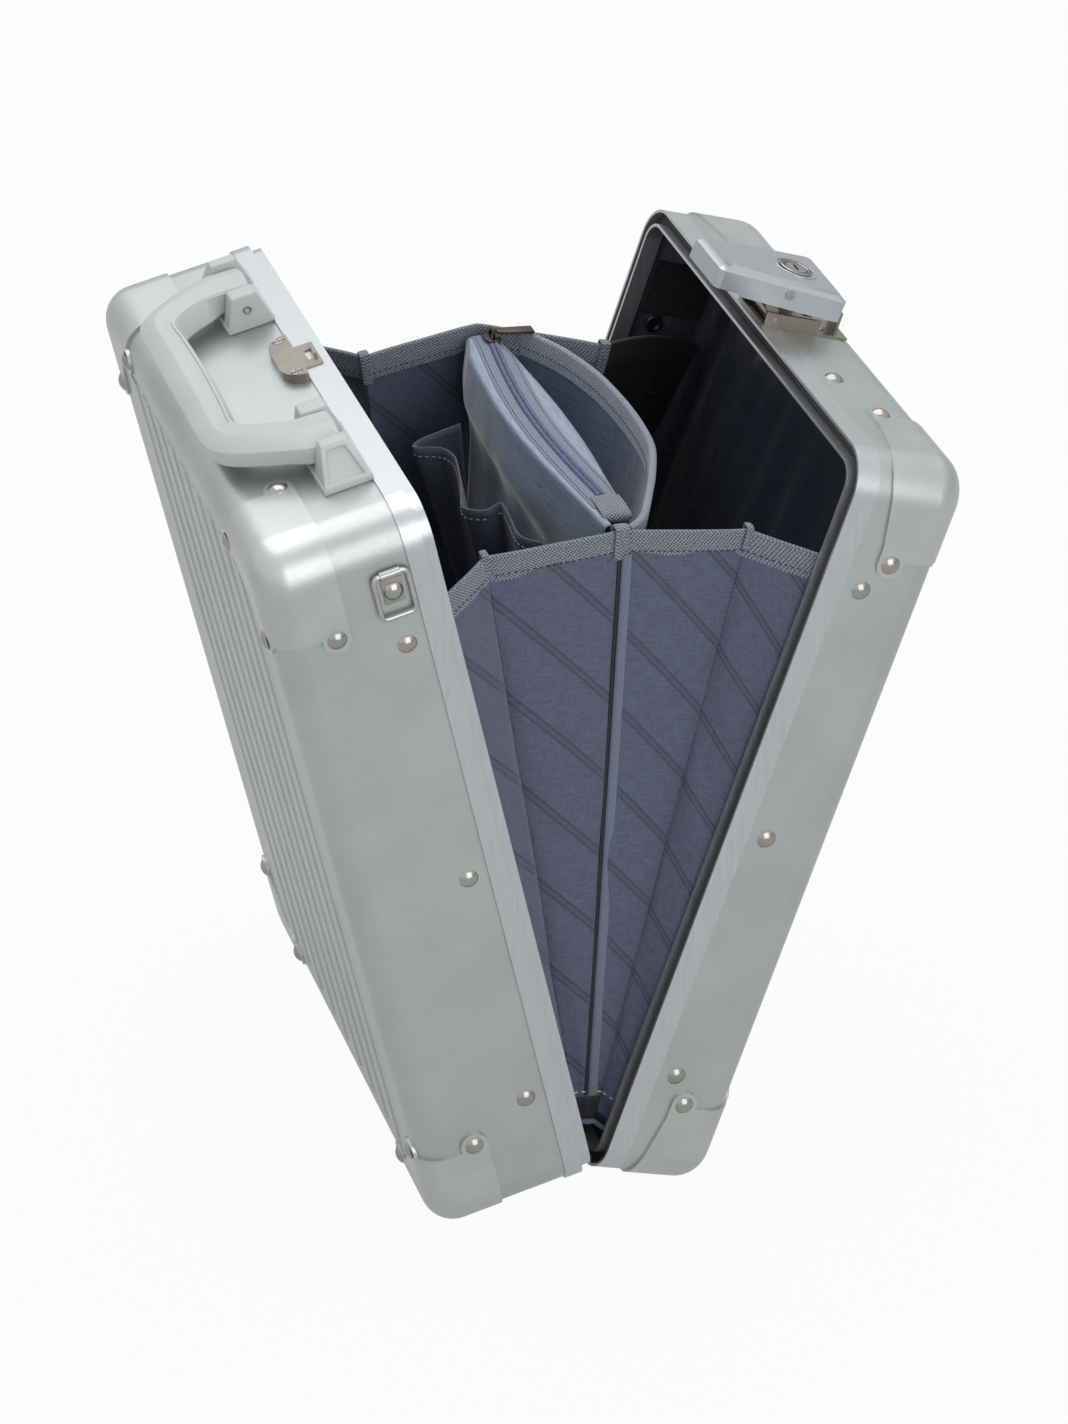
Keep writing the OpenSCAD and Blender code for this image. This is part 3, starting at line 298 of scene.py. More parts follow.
def satin_cloth(name, light, dark, sheen):
    """Smooth lining cloth that shines along its folds."""
    made = Finish(
        name, light, 0.36, by_uv=True, Sheen_Weight=sheen, Sheen_Roughness=0.3, Specular_IOR_Level=0.8
    )
    made.tones(made.grain(1.0, 2, made.stretched(0.08, 1.0)), dark, light, 0.35, 0.65)
    made.rough(made.grain(6, 3), 0.3, 0.4)
    made.relief((made.weave(0.8, 0.5), 0.02), (made.grain(24, 2), 0.8))
    return made.material


def tray_lining():
    made = Finish(
        "tray_lining", (44, 50, 64), 0.38, Sheen_Weight=0.4, Sheen_Roughness=0.3, Specular_IOR_Level=0.7
    )
    threads = made.grain(1.0, 2, made.stretched(1.0, 1.0, 0.1))
    made.tones(threads, (37, 42, 54), (52, 58, 74), 0.35, 0.65)
    made.relief((threads, 0.03), (made.grain(30, 2, made.stretched(1.0, 1.0, 0.25)), 1.2))
    return made.material


def woven_tape(name, light, dark, pitch, slant=0.0, sheen=0.3):
    """Binding tape with coarse threads across it."""
    made = Finish(name, light, 0.7, by_uv=True, Sheen_Weight=sheen, Sheen_Roughness=0.5)
    u, v = made.across_and_along()
    ribs = made.wave(made.sum("ADD", u, made.sum("MULTIPLY", v, slant)), pitch)
    knots = made.sum("MULTIPLY", ribs, made.wave(v, pitch))
    fuzz = made.grain(0.8, 3)
    made.tones(made.sum("ADD", made.sum("MULTIPLY", knots, 0.3), fuzz), dark, light, 0.3, 0.75)
    made.relief((knots, 0.16), (fuzz, 0.12))
    return made.material


def zip_cloth():
    made = Finish("zip_cloth", (104, 108, 126), 0.68, by_uv=True, Sheen_Weight=0.25)
    rows = made.wave(made.across_and_along()[1], 1.5)
    fuzz = made.grain(0.7, 3)
    made.tones(made.sum("ADD", made.sum("MULTIPLY", rows, 0.15), fuzz), (100, 105, 124), (132, 138, 158))
    made.relief((rows, 0.08), (fuzz, 0.08))
    return made.material


def plain(name, light, dark, roughness, spot, depth):
    made = Finish(name, light, roughness)
    spots = made.grain(spot, 3)
    made.tones(spots, dark, light)
    made.rough(spots, roughness * 0.85, roughness * 1.1)
    made.relief((spots, depth))
    return made.material


ALUMINIUM = satin_aluminium()
EXTRUDED = extruded_aluminium()
CAPS = pressed_caps()
NICKEL = bright_metal("warm_nickel", (148, 143, 134), (142, 137, 128), 0.27)
RING_STEEL = bright_metal("ring_steel", (186, 186, 184), (176, 176, 174), 0.2)
STEEL = bright_metal("plain_steel", (168, 168, 168), (150, 150, 152), 0.3)
POLISHED = bright_metal("polished_rivets", (166, 163, 159), (154, 151, 147), 0.17, 4)
GRIP = grip_plastic()
COVER = cover_metal()
BRONZE = bright_metal("dark_bronze", (82, 74, 66), (50, 45, 40), 0.36)
RUBBER = rubber()
QUILTED = quilted_cloth()
SATIN = satin_cloth("pouch_satin", (136, 151, 173), (112, 127, 149), 0.7)
SLACK_SATIN = satin_cloth("slack_satin", (96, 108, 130), (74, 86, 108), 0.6)
POCKET_CLOTH = quilted_cloth("pocket_cloth", (70, 77, 96), (54, 60, 78), striped=False)
FLOOR_CLOTH = quilted_cloth("floor_cloth", (56, 60, 74), (40, 43, 56), striped=False)
LINING = tray_lining()
# Near-black cloth for the far side's last panel: painted shade of the deep shadow in the tray's corner.
SHADE_PAINTED_CLOTH = quilted_cloth("shade_painted_cloth", (17, 18, 22), (9, 10, 13), striped=False, sheen=0.04)
# Near-black binding over that panel: painted shade; the same binding is light elsewhere.
SHADE_PAINTED_TAPE = woven_tape("shade_painted_tape", (40, 41, 45), (12, 13, 15), 1.9, sheen=0.03)
FELT = plain("black_felt", (34, 34, 37), (14, 14, 16), 0.9, 1.6, 0.5)
BINDING = woven_tape("binding_tape", (150, 156, 168), (58, 62, 76), 1.9)
TWILL = woven_tape("twill_tape", (172, 178, 192), (96, 104, 122), 1.7, 0.5)
PIPING = woven_tape("seam_piping", (116, 125, 148), (92, 100, 122), 1.6)
ZIP_TAPE = zip_cloth()
ZIP_COIL = plain("zip_coil", (132, 142, 170), (104, 114, 144), 0.4, 1.5, 0.01)
WHITE_THREAD = plain("white_thread", (205, 205, 205), (160, 160, 165), 0.7, 0.5, 0.05)
DARK_THREAD = plain("dark_thread", (30, 32, 42), (16, 17, 24), 0.7, 0.5, 0.05)
BLACK_PLASTIC = plain("black_plastic", (30, 30, 33), (16, 16, 18), 0.35, 1.5, 0.02)
PLUG = plain("grey_plug", (152, 152, 149), (140, 140, 138), 0.5, 1.5, 0.01)
ELASTIC = plain("black_elastic", (34, 34, 40), (20, 20, 25), 0.75, 0.8, 0.12)

# ---- Making pieces ----


def finish_piece(name, shape, place, finish, sharp=35.0):
    """Turns a shape in millimetres into a piece of the case, in the case's own place."""
    shape.transform(Matrix.Scale(0.001, 4) @ place)
    mesh = bpy.data.meshes.new(name)
    shape.to_mesh(mesh)
    shape.free()
    mesh.materials.append(finish)
    mesh.shade_smooth()
    mesh.set_sharp_from_angle(angle=math.radians(sharp))
    made = bpy.data.objects.new(name, mesh)
    scene.collection.objects.link(made)
    return made


def between_halves(made):
    """Bakes the piece's place into its mesh; the cloth of the sides and the floor stays as it is laid."""
    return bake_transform(made)


def lengths(row):
    """Distance of each vertex from the first of its row, along the row."""
    return list(accumulate(((b.co - a.co).length for a, b in zip(row, row[1:])), initial=0.0))


def laid_over(surface, across, along, start=0.0):
    """A grid laid over a surface of u and v, with UV distances in millimetres along its threads."""
    shape = bmesh.new()
    bmesh.ops.create_grid(shape, x_segments=across, y_segments=along, size=0.5, calc_uvs=True)
    cells = {(round((v.co.x + 0.5) * across), round((v.co.y + 0.5) * along)): v for v in shape.verts}
    for (i, j), v in cells.items():
        v.co = surface(i / across, j / along)
    runs = [lengths([cells[i, j] for i in range(across + 1)]) for j in range(along + 1)]
    rises = [lengths([cells[i, j] for j in range(along + 1)]) for i in range(across + 1)]
    first = round(start * across)
    place = {v: (runs[j][i] - runs[j][first], rises[i][j]) for (i, j), v in cells.items()}
    uv = shape.loops.layers.uv.verify()
    for face in shape.faces:
        for loop in face.loops:
            loop[uv].uv = place[loop.vert]
    return shape


def close_up(shape, gap=0.001):
    """Merges the vertices that meet and turns the faces outwards."""
    bmesh.ops.remove_doubles(shape, verts=shape.verts, dist=gap)
    bmesh.ops.holes_fill(shape, edges=shape.edges, sides=0)
    bmesh.ops.recalc_face_normals(shape, faces=shape.faces)


def thicken(made, thick):
    walls = made.modifiers.new("thickness", "SOLIDIFY")
    walls.thickness = thick / 1000
    walls.offset = 0


def cloth_area(shape):
    return sum(face.calc_area() for face in shape.faces) / 1e6


def cloth_sheet(name, surface, across, along, finish, thick=0.9, start=0.0, place=WORLD):
    """One layer of cloth, and its flat size and area in metres."""
    shape = laid_over(surface, across, along, start)
    uv = shape.loops.layers.uv.verify()
    corners = [loop[uv].uv for face in shape.faces for loop in face.loops]
    flat = tuple((max(c[k] for c in corners) - min(c[k] for c in corners)) / 1000 for k in (0, 1))
    area = min(cloth_area(shape), flat[0] * flat[1])
    made = finish_piece(name, shape, place, finish, 80)
    thicken(made, thick)
    return made, flat, area


def eased(a, b, c, d, t):
    """Value at t, from 0 at b to 1 at c, on a smooth line that also passes a and d."""
    square = (2 * a - 5 * b + 4 * c - d) * t * t
    cube = (3 * b - a - 3 * c + d) * t ** 3
    return 0.5 * ((2 * b) + (c - a) * t + square + cube)


def smooth_path(points, steps):
    """A curve through the points, in steps between each two."""
    last = len(points) - 1
    out = []
    for i in range(last):
        four = (points[max(i - 1, 0)], points[i], points[i + 1], points[min(i + 2, last)])
        out += [eased(*four, k / steps) for k in range(steps)]
    return out + [points[last].copy()]


def measured(points, step):
    """Points a fixed distance apart along a path."""
    out = [points[0].copy()]
    left = step
    for a, b in zip(points, points[1:]):
        length = (b - a).length
        done = 0.0
        while length - done >= left:
            done += left
            out.append(a.lerp(b, done / length))
            left = step
        left -= length - done
    return out


def facing(up, here):
    return (up(here) if callable(up) else Vector(up)).normalized()


def run_along(path, profile, up):
    """A shape of one closed section along a path; its x lies to the side and its y along up."""
    count = len(path) - 1
    profile = list(profile) + [profile[0]]
    size = len(profile) - 1

    def surface(u, v):
        i = round(u * count)
        ahead = (path[min(i + 1, count)] - path[max(i - 1, 0)]).normalized()
        rise = facing(up, path[i])
        a, b = profile[round(v * size)]
        return path[i] + ahead.cross(rise).normalized() * a + rise * b

    shape = laid_over(surface, count, size)
    close_up(shape, 0.0005)
    return shape


def oval(wide, tall, count=10):
    turns = [2 * math.pi * k / count for k in range(count)]
    return [(wide / 2 * math.cos(a), tall / 2 * math.sin(a)) for a in turns]


def folded_tape(height, thick, count=6):
    """Section of a tape folded over an edge, closed at its foot."""
    half = thick / 2
    turns = [math.pi * k / count for k in range(count + 1)]
    over = [(half * math.cos(a), half * 0.9 * math.sin(a)) for a in turns]
    return [(half * 0.7, -height)] + over + [(-half * 0.7, -height)]


# Rows of stitches, as (pitch, length, thickness)
BINDING_SEAM = (3.2, 2.2, 0.5)
FOLD_SEAM = (2.6, 1.7, 0.7)
HEM_SEAM = (4.6, 3.0, 0.9)
ZIP_COILS = (1.5, 0.85, 2.9)
ZIP_SEAM = (2.6, 1.9, 0.45)
SLACK_SEAM = (3.0, 2.0, 0.5)
POCKET_SEAM = (3.4, 2.3, 0.45)


def stitches(path, up, seam, side=0.0, raised=0.0):
    """A row of stitches along a path, each a small flattened bead."""
    pitch, length, thick = seam
    shape = bmesh.new()
    spots = measured(path, pitch)
    for here, there in zip(spots, spots[1:]):
        ahead = (there - here).normalized()
        flank = ahead.cross(facing(up, here)).normalized()
        rise = flank.cross(ahead)
        place = Matrix((ahead * length / 2, flank * thick / 2, rise * thick / 2)).transposed().to_4x4()
        place.translation = here.lerp(there, 0.5) + flank * side + rise * raised
        bmesh.ops.create_uvsphere(shape, u_segments=6, v_segments=4, radius=1.0, matrix=place)
    return shape


def join(shapes):
    """Several shapes as one."""
    out = bmesh.new()
    for shape in shapes:
        mesh = bpy.data.meshes.new("joined")
        shape.to_mesh(mesh)
        shape.free()
        out.from_mesh(mesh)
        bpy.data.meshes.remove(mesh)
    return out


def thread_rows(name, rows, finish=DARK_THREAD, place=WORLD):
    return finish_piece(name, join(rows), place, finish)


def ease_edges(shape, edges, width, segments=2, clamp=False):
    bmesh.ops.bevel(
        shape, geom=edges, offset=width, segments=segments, profile=0.5, affect="EDGES", material=-1,
        clamp_overlap=clamp
    )


def keen_edges(shape, angle=1.0):
    return [e for e in shape.edges if e.calc_face_angle(0) > angle]


def rounded_block(size, radius, segments, place):
    shape = bmesh.new()
    bmesh.ops.create_cube(shape, size=1.0)
    bmesh.ops.scale(shape, vec=size, verts=shape.verts)
    ease_edges(shape, shape.edges, radius, segments)
    bmesh.ops.transform(shape, matrix=place, verts=shape.verts)
    return shape


def rod(radius, length, place, facets, edge=0.0, segments=2, taper=0.0):
    """Round bar with eased ends."""
    shape = bmesh.new()
    bmesh.ops.create_cone(
        shape, cap_ends=True, segments=facets, radius1=radius, radius2=radius - taper, depth=length
    )
    if edge:
        ease_edges(shape, keen_edges(shape), edge, segments)
    bmesh.ops.transform(shape, matrix=place, verts=shape.verts)
    return shape


def spun(points, steps, closed):
    """A line of points, each as (radius, height), turned round its axis."""
    shape = bmesh.new()
    ring = [shape.verts.new((r, 0, z)) for r, z in points]
    ends = ring[1:] + ring[:1] if closed else ring[1:]
    edges = [shape.edges.new(pair) for pair in zip(ring, ends)]
    bmesh.ops.spin(
        shape, geom=ring + edges, cent=(0, 0, 0), axis=(0, 0, 1), angle=2 * math.pi, steps=steps,
        use_merge=True
    )
    bmesh.ops.remove_doubles(shape, verts=shape.verts, dist=0.001)
    bmesh.ops.recalc_face_normals(shape, faces=shape.faces)
    return shape


def ring_shape(outer, inner, tall, steps=56):
    """Flat ring with eased edges."""
    ease = min(tall, outer - inner) * 0.3
    return spun([
        (inner, 0.0), (inner, tall - ease), (inner + ease, tall), (outer - ease, tall), (outer, tall - ease),
        (outer, 0.0),
    ], steps, True)


def pulled(points, reach):
    """A flat face through the points, pulled out into a solid."""
    shape = bmesh.new()
    face = shape.faces.new([shape.verts.new(point) for point in points])
    grown = bmesh.ops.extrude_face_region(shape, geom=[face])["geom"]
    bmesh.ops.translate(shape, vec=reach, verts=[g for g in grown if isinstance(g, bmesh.types.BMVert)])
    return shape


# ---- Parts that are kept from the model get their edges and finishes ----


def smooth_faces():
    """Geometry nodes that shade faces smoothly, after which the bevel keeps the edges."""
    tree = bpy.data.node_groups.new("smooth_faces", "GeometryNodeTree")
    tree.interface.new_socket("Geometry", in_out="INPUT", socket_type="NodeSocketGeometry")
    tree.interface.new_socket("Geometry", in_out="OUTPUT", socket_type="NodeSocketGeometry")
    start = tree.nodes.new("NodeGroupInput")
    end = tree.nodes.new("NodeGroupOutput")
    shade = tree.nodes.new("GeometryNodeSetShadeSmooth")
    edges = tree.nodes.new("GeometryNodeSetShadeSmooth")
    edges.domain = "EDGE"
    angle = tree.nodes.new("GeometryNodeInputMeshEdgeAngle")
    compare = tree.nodes.new("FunctionNodeCompare")
    compare.operation = "LESS_THAN"
    compare.inputs[1].default_value = math.radians(32)
    tree.links.new(angle.outputs[0], compare.inputs[0])
    tree.links.new(start.outputs[0], shade.inputs["Geometry"])
    tree.links.new(shade.outputs[0], edges.inputs["Geometry"])
    tree.links.new(compare.outputs[0], edges.inputs["Shade Smooth"])
    tree.links.new(edges.outputs[0], end.inputs[0])
    return tree


SMOOTH = smooth_faces()


def dress(node, finish, edge):
    """The node keeps its shape; its edges are eased as its tooling would leave them."""
    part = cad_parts[node]
    for slot in part.material_slots:
        slot.material = finish
    weld = part.modifiers.new("weld", "WELD")
    weld.merge_threshold = 2e-6
    flat = part.modifiers.new("flat", "DECIMATE")
    flat.decimate_type = "DISSOLVE"
    flat.angle_limit = math.radians(0.4)
    if edge:
        ease = part.modifiers.new("edges", "BEVEL")
        ease.width = edge / 1000
        ease.segments = 2
        ease.limit_method = "ANGLE"
        ease.angle_limit = math.radians(40)
        ease.use_clamp_overlap = True
        ease.profile = 0.5
    smooth = part.modifiers.new("smooth", "NODES")
    smooth.node_group = SMOOTH
    normals = part.modifiers.new("normals", "WEIGHTED_NORMAL")
    normals.keep_sharp = True
    normals.weight = 80


for finish, edge, nodes in (
    (ALUMINIUM, 0.3, ("handle_shell", "lock_shell")),
    (EXTRUDED, 0.25, ("handle_frame", "lock_frame")),
    (CAPS, 0.45, ("handle_caps", "lock_caps")),
    (RUBBER, 0.3, ("frame_seal",)),
    (POLISHED, 0.15, ("handle_rivets", "lock_rivets", "ring_rivets", "latch_base_rivets")),
    (STEEL, 0.15, ("strike_screws",)),
    (STEEL, 0.2, ("ring_clips", "key_cylinder", "hinge_leaf_handle", "hinge_leaf_lock", "hinge_pins")),
    (STEEL, 0.3, ("base_pin", "link_pin")),
    (RING_STEEL, 0.0, ("strap_ring_near", "strap_ring_far")),
    (NICKEL, 0.25, ("latch_base",)),
    (NICKEL, 0.3, ("latch_link", "draw_hook")),
    (NICKEL, 0.5, ("strike_plate",)),
    (COVER, 0.5, ("latch_cover",)),
    (BLACK_PLASTIC, 0.25, ("key_bezel",)),
):
    for node in nodes:
        dress(node, finish, edge)

# ---- Folded sides: each fold as (angle at the top, y at the top, y at the foot, angle at the foot) ----

EDGE_A = -13.35
EDGE_B = 18.94
NEAR_LINES = [
    (EDGE_A, -144.3, -144.3, -22.4),
    (-7.8, -117.0, -126.0, -7.8),
    (DIVIDER, -117.0, -128.0, DIVIDER),
    (13.2, -119.0, -128.0, 13.2),
    (EDGE_B, -140.1, -140.1, 27.99),
]
FAR_LINES = [
    (EDGE_A, 144.3, 144.3, -22.4),
    (-7.2, 94.0, 118.0, -7.2),
    (DIVIDER, 107.0, 126.0, DIVIDER),
    (12.5, 80.0, 118.0, 12.5),
    (26.1, 141.6, 140.1, 27.99),
]
BOW = (2.4, 2.2, 2.2, 2.4)
ACROSS = 96
DROOP = 15.0    # how much lower the far side ends in the tray's corner


def on_line(line, v):
    low = fan(line[3], CLOTH_LOW, line[2])
    top = fan(line[0], CLOTH_TOP - (DROOP if line is FAR_LINES[-1] else 0.0), line[1])
    return low.lerp(top, v)


def folded_side(lines, outward, bow):
    """Surface of a folded side: panels that bow out a little between their stitched folds."""

    def surface(u, v):
        i = min(int(u * 4 + 1e-6), 3)
        s = 0.5 - 0.5 * math.cos(math.pi * within(u * 4 - i))
        a, b = on_line(lines[i], v), on_line(lines[i + 1], v)
        here = a.lerp(b, s)
        flank = (b - a).cross(on_line(lines[i], 1) - on_line(lines[i], 0)).normalized()
        if flank.y * outward < 0:
            flank.negate()
        round_off = 1 - abs(2 * s - 1) ** 7
        calm = 4 * v * (1 - v)
        if i == 3 and outward > 0:
            here = here + from_hinge(here).normalized() * (5.0 * math.sin(math.pi * s) * v ** 3)
        crumple = drift(here.z * 0.021 + s * 1.9 + i * 3.1, here.z * 0.006 - s * 0.8, i * 5.0)
        puff = bow[i] * (0.35 + 0.65 * calm) + 1.7 * crumple * (0.25 + 0.75 * calm)
        return here + flank * (round_off * puff)

    return surface


def edge_path(surface, v):
    return [surface(k / ACROSS, v) for k in range(ACROSS + 1)]


def paint_shade_past(made, finish, angle):
    """Gives a second, darker finish to the faces that lie past an angle round the hinge: painted shade."""
    made.data.materials.append(finish)
    for face in made.data.polygons:
        arm = from_hinge(face.center * 1000)
        if math.degrees(math.atan2(arm.x, arm.z)) > angle:
            face.material_index = 1


def foot_band(name, lines, outward):
    """Black elastic along the foot of a side, with the piping that closes the bag under it."""
    flat_side = folded_side(lines, outward, (0, 0, 0, 0))

    def place(u, radius, proud):
        return flat_side(u, (radius - CLOTH_LOW) / (CLOTH_TOP - CLOTH_LOW)) + Vector((0, outward * proud, 0))

    def surface(u, v):
        bite = 0.8 * abs(math.sin(u * 60.0)) if v < 0.02 else 0.0
        return place(u, 29.0 + bite + 13.5 * v, 1.1)

    band = finish_piece(name, laid_over(surface, 72, 6), WORLD, ELASTIC, sharp=80)
    thicken(band, 1.0)
    arc = [place(k / 48, 27.4, 1.0) for k in range(49)]
    cord = run_along(arc, oval(3.0, 3.4), (0, 1, 0))
    return [band, finish_piece(name + "_piping", cord, WORLD, PIPING, sharp=60)]


def side_cloth(name, node, lines, outward):
    surface = folded_side(lines, outward, BOW)
    made, flat, area = cloth_sheet(name, surface, ACROSS, 70, QUILTED, start=0.5)
    top = edge_path(surface, 1.0)
    tape = run_along(top, folded_tape(13.0, 2.6), from_hinge)
    tape = finish_piece(name + "_binding", tape, WORLD, BINDING, sharp=60)
    # Past these angles the far side's last panel and its binding turn near-black: painted shade.
    if outward > 0:
        paint_shade_past(made, SHADE_PAINTED_CLOTH, 12.6)
        paint_shade_past(tape, SHADE_PAINTED_TAPE, 12.9)
    rows = [stitches(top, from_hinge, BINDING_SEAM, side * 1.35, -9.6) for side in BOTH]
    folds = []
    for line in (lines[1], lines[3]):
        fold = [on_line(line, v / 40) + Vector((0, outward * 0.5, 0)) for v in range(39)]
        folds.append(stitches(fold, (0, outward, 0), FOLD_SEAM))
    hem = stitches(edge_path(surface, 0.036), from_hinge, HEM_SEAM, -0.85 * outward)
    extras = [
        tape,
        thread_rows(name + "_binding_thread", rows),
        thread_rows(name + "_fold_thread", folds),
        thread_rows(name + "_hem_thread", [hem], WHITE_THREAD),
        *foot_band(name + "_foot", lines, outward),
    ]
    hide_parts(node)
    for piece in [made] + extras:
        between_halves(piece)
    return surface


side_cloth("near_side_cloth", "near_gusset", NEAR_LINES, -1)
far_side = side_cloth("far_side_cloth", "far_gusset", FAR_LINES, 1)


def centre_seam():
    """Seam allowance that stands out along the middle of the near side, and a dark cord beside it that is painted
    shadow of the flap.
    """
    line = [on_line(NEAR_LINES[2], 0.03 + 0.935 * k / 50) for k in range(51)]
    section = [(-2.4, -0.4), (-2.4, 0.2), (-1.6, 0.9), (0.0, 1.1), (1.6, 0.9), (2.4, 0.2), (2.4, -0.4)]
    flap = run_along([p + Vector((3.2, -1.9, 0)) for p in line], section, (0, -1, 0))
    between_halves(finish_piece("near_side_seam", flap, WORLD, PIPING, sharp=60))
    # Dark cord left of the flap: painted shadow of the flap in its groove.
    cord = run_along([p + Vector((-0.2, -1.0, 0)) for p in line], oval(2.0, 1.4), (0, -1, 0))
    between_halves(finish_piece("near_side_seam_shadow_cord", cord, WORLD, DARK_THREAD, sharp=60))


centre_seam()


def fold_tab(top, wide, tall):
    """A tape end that is folded over the binding."""
    up = from_hinge(top).normalized()
    bend = [
        (1.9 + math.sin(turn) * 0.6, math.cos(turn) * 2.6) for turn in [math.pi * k / 16 for k in range(17)]
    ]
    leg = [(1.9 - tall * k / 8, 2.6 - 0.5 * k / 8) for k in range(8, 0, -1)]
    path = leg + bend + [(height, -y) for height, y in reversed(leg)]
    path = [top + up * height + Vector((0, y, 0)) for height, y in path]
    half = [(wide / 2, 0), (wide / 2, 0.7), (wide / 4, 1.0)]
    section = [(-x, y) for x, y in half] + half[::-1]
    return run_along(path, section, lambda p: p - (top - up * 4))


def fold_tabs():
    """Tape ends folded over the binding at the middle of each side and at the folds."""
    tabs = [
        fold_tab(on_line(line, 1.0), wide, tall) for line, wide, tall in (
            (NEAR_LINES[2], 7.0, 15.0),
            (NEAR_LINES[1], 3.4, 11.0),
            (NEAR_LINES[3], 3.4, 10.0),
            (FAR_LINES[1], 5.0, 15.0),
            (FAR_LINES[3], 5.0, 15.0),
        )
    ]
    between_halves(finish_piece("binding_tabs", join(tabs), WORLD, BINDING, sharp=50))


fold_tabs()


def bag_floor():
    """Taut cloth between the feet of the two sides."""
    start, span, height, reach = -21.4, 48.4, 32.9, 118

    def surface(u, v):
        chord = math.cos(math.radians(span / 2)) / math.cos(math.radians((u - 0.5) * span))
        return fan(start + u * span, height * chord + 0.3 * drift(u * 9, v * 12, 0), reach * (2 * v - 1))

    made, flat, area = cloth_sheet("bag_floor_cloth", surface, 24, 60, FLOOR_CLOTH)
    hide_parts("bag_floor")
    between_halves(made)


bag_floor()

# ---- Divider with its pouch, zip, slack panel and pen pocket ----


def divider_cloth():
    def surface(u, v):
        foot = max(0.0, 1 - v / 0.36)
        near = -115.9 - 9 * foot
        far = 105.9 + 14 * foot
        height = CLOTH_LOW + (POUCH_TOP - CLOTH_LOW) * v
        return Vector((0.25 * drift(u * 6, v * 7, 2), near + (far - near) * u, height))

    made, flat, area = cloth_sheet("divider_cloth", surface, 60, 60, POCKET_CLOTH, place=MIDDLE)
    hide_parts("divider_panel")
    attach(made, "divider")


divider_cloth()

# Rims of the pouch's left and right walls, as (y, distance from the divider's plane)
RIMS = {
    -1: [
        (-104, -3.0), (-69, -7.4), (-44, -10.8), (-16, -13.6), (15, -15.3), (45, -14.5), (81, -12.0),
        (101, -7.0),
    ],
    1: [(-93, 12.6), (-64, 13.4), (-30, 15.1), (-1, 15.4), (30, 14.4), (74, 11.2), (101, 8.4)],
}


def rim_off(side, y):
    """Distance of the pouch's rim from the divider's plane, on a smooth line through its points."""
    table = RIMS[side]
    y = min(max(y, table[0][0]), table[-1][0])
    last = len(table) - 1
    i = max(k for k in range(last) if table[k][0] <= y)
    four = [table[min(max(k, 0), last)][1] for k in range(i - 1, i + 3)]
    return eased(*four, (y - table[i][0]) / (table[i + 1][0] - table[i][0]))


def coil_off(y):
    return ZIP_OFF - 6.5 * math.sin(math.pi * (SLIDER_Y - y) / 166.5) if y < SLIDER_Y else ZIP_OFF


def beside_coil(side, y, reach, spare):
    """Place beside the zip's coil that stays inside the pouch's rim."""
    off = coil_off(y) + side * reach
    rim = rim_off(side, y) - side * spare
    return min(off, rim) if side > 0 else max(off, rim)


def pouch_wall(name, side, near):
    """One side of the pouch: it hangs from the zip's tape, rolls over the rim and runs in to its foot."""
    wall = 0.9      # share of the cloth below the rim
    over = 0.625    # share of the rest that turns over the rim
    roll = 2.0

    def surface(u, v):
        y = near + (POUCH_FAR - near) * u
        rim = rim_off(side, y)
        ends = 4 * u * (1 - u)
        if v > wall:
            t = (v - wall) / (1 - wall)
            turn = math.pi / 2 * min(t / over, 1.0)
            off = rim - side * roll * (1 - math.cos(turn))
            if t > over:
                off += (beside_coil(side, y, 7.6, 1.2) - off) * (t - over) / (1 - over)
            return Vector((off, y, POUCH_TOP + 0.9 - roll * (1 - math.sin(turn))))
        t = v / wall
        foot = side * (0.9 + 1.2 * ends)
        chest = (0.35 + 0.65 * ends) * (5.0 + 2.0 * drift(y * 0.03, side, 4))
        chest *= math.exp(-((t - 0.88) / 0.07) ** 2)
        ripple = 3.2 * drift(y * 0.035 + t, t * 2.6, side * 3.0) * math.sin(math.pi * t) * (0.3 + 0.7 * ends)
        tuck = within((t - 0.7) / 0.26)
        run_in = 0.15 * t + 0.85 * tuck * tuck * (3 - 2 * tuck)
        off = foot + (rim - foot) * run_in + side * chest + ripple
        return Vector((off, y, POUCH_LOW + (POUCH_TOP - 1.1 - POUCH_LOW) * t))

    made, flat, area = cloth_sheet(name, surface, 72, 70, SATIN, place=MIDDLE)
    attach(made, "divider")
    return made


left_wall = pouch_wall("pouch_left_cloth", -1, -104.0)
pouch_wall("pouch_right_cloth", 1, -93.0)
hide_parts("zip_pouch")


def zip_strip(name, side):
    def surface(u, v):
        y = POUCH_NEAR - 8 + (POUCH_FAR + 8 - POUCH_NEAR) * u
        lift = 0.35 * math.sin(math.pi * v) + 0.25 * drift(y * 0.06, side, 0)
        return Vector((beside_coil(side, y, 1.6 + 7.6 * v, 1.6), y, POUCH_TOP + 1.25 + lift))

    made, flat, area = cloth_sheet(name, surface, 90, 8, ZIP_TAPE, 0.6, place=MIDDLE)
    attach(made, "divider")
    flat = (flat[0], max(flat[1], 0.0102))
    return made


left_tape = zip_strip("zip_tape_left", -1)
zip_strip("zip_tape_right", 1)
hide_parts("zip_tape")


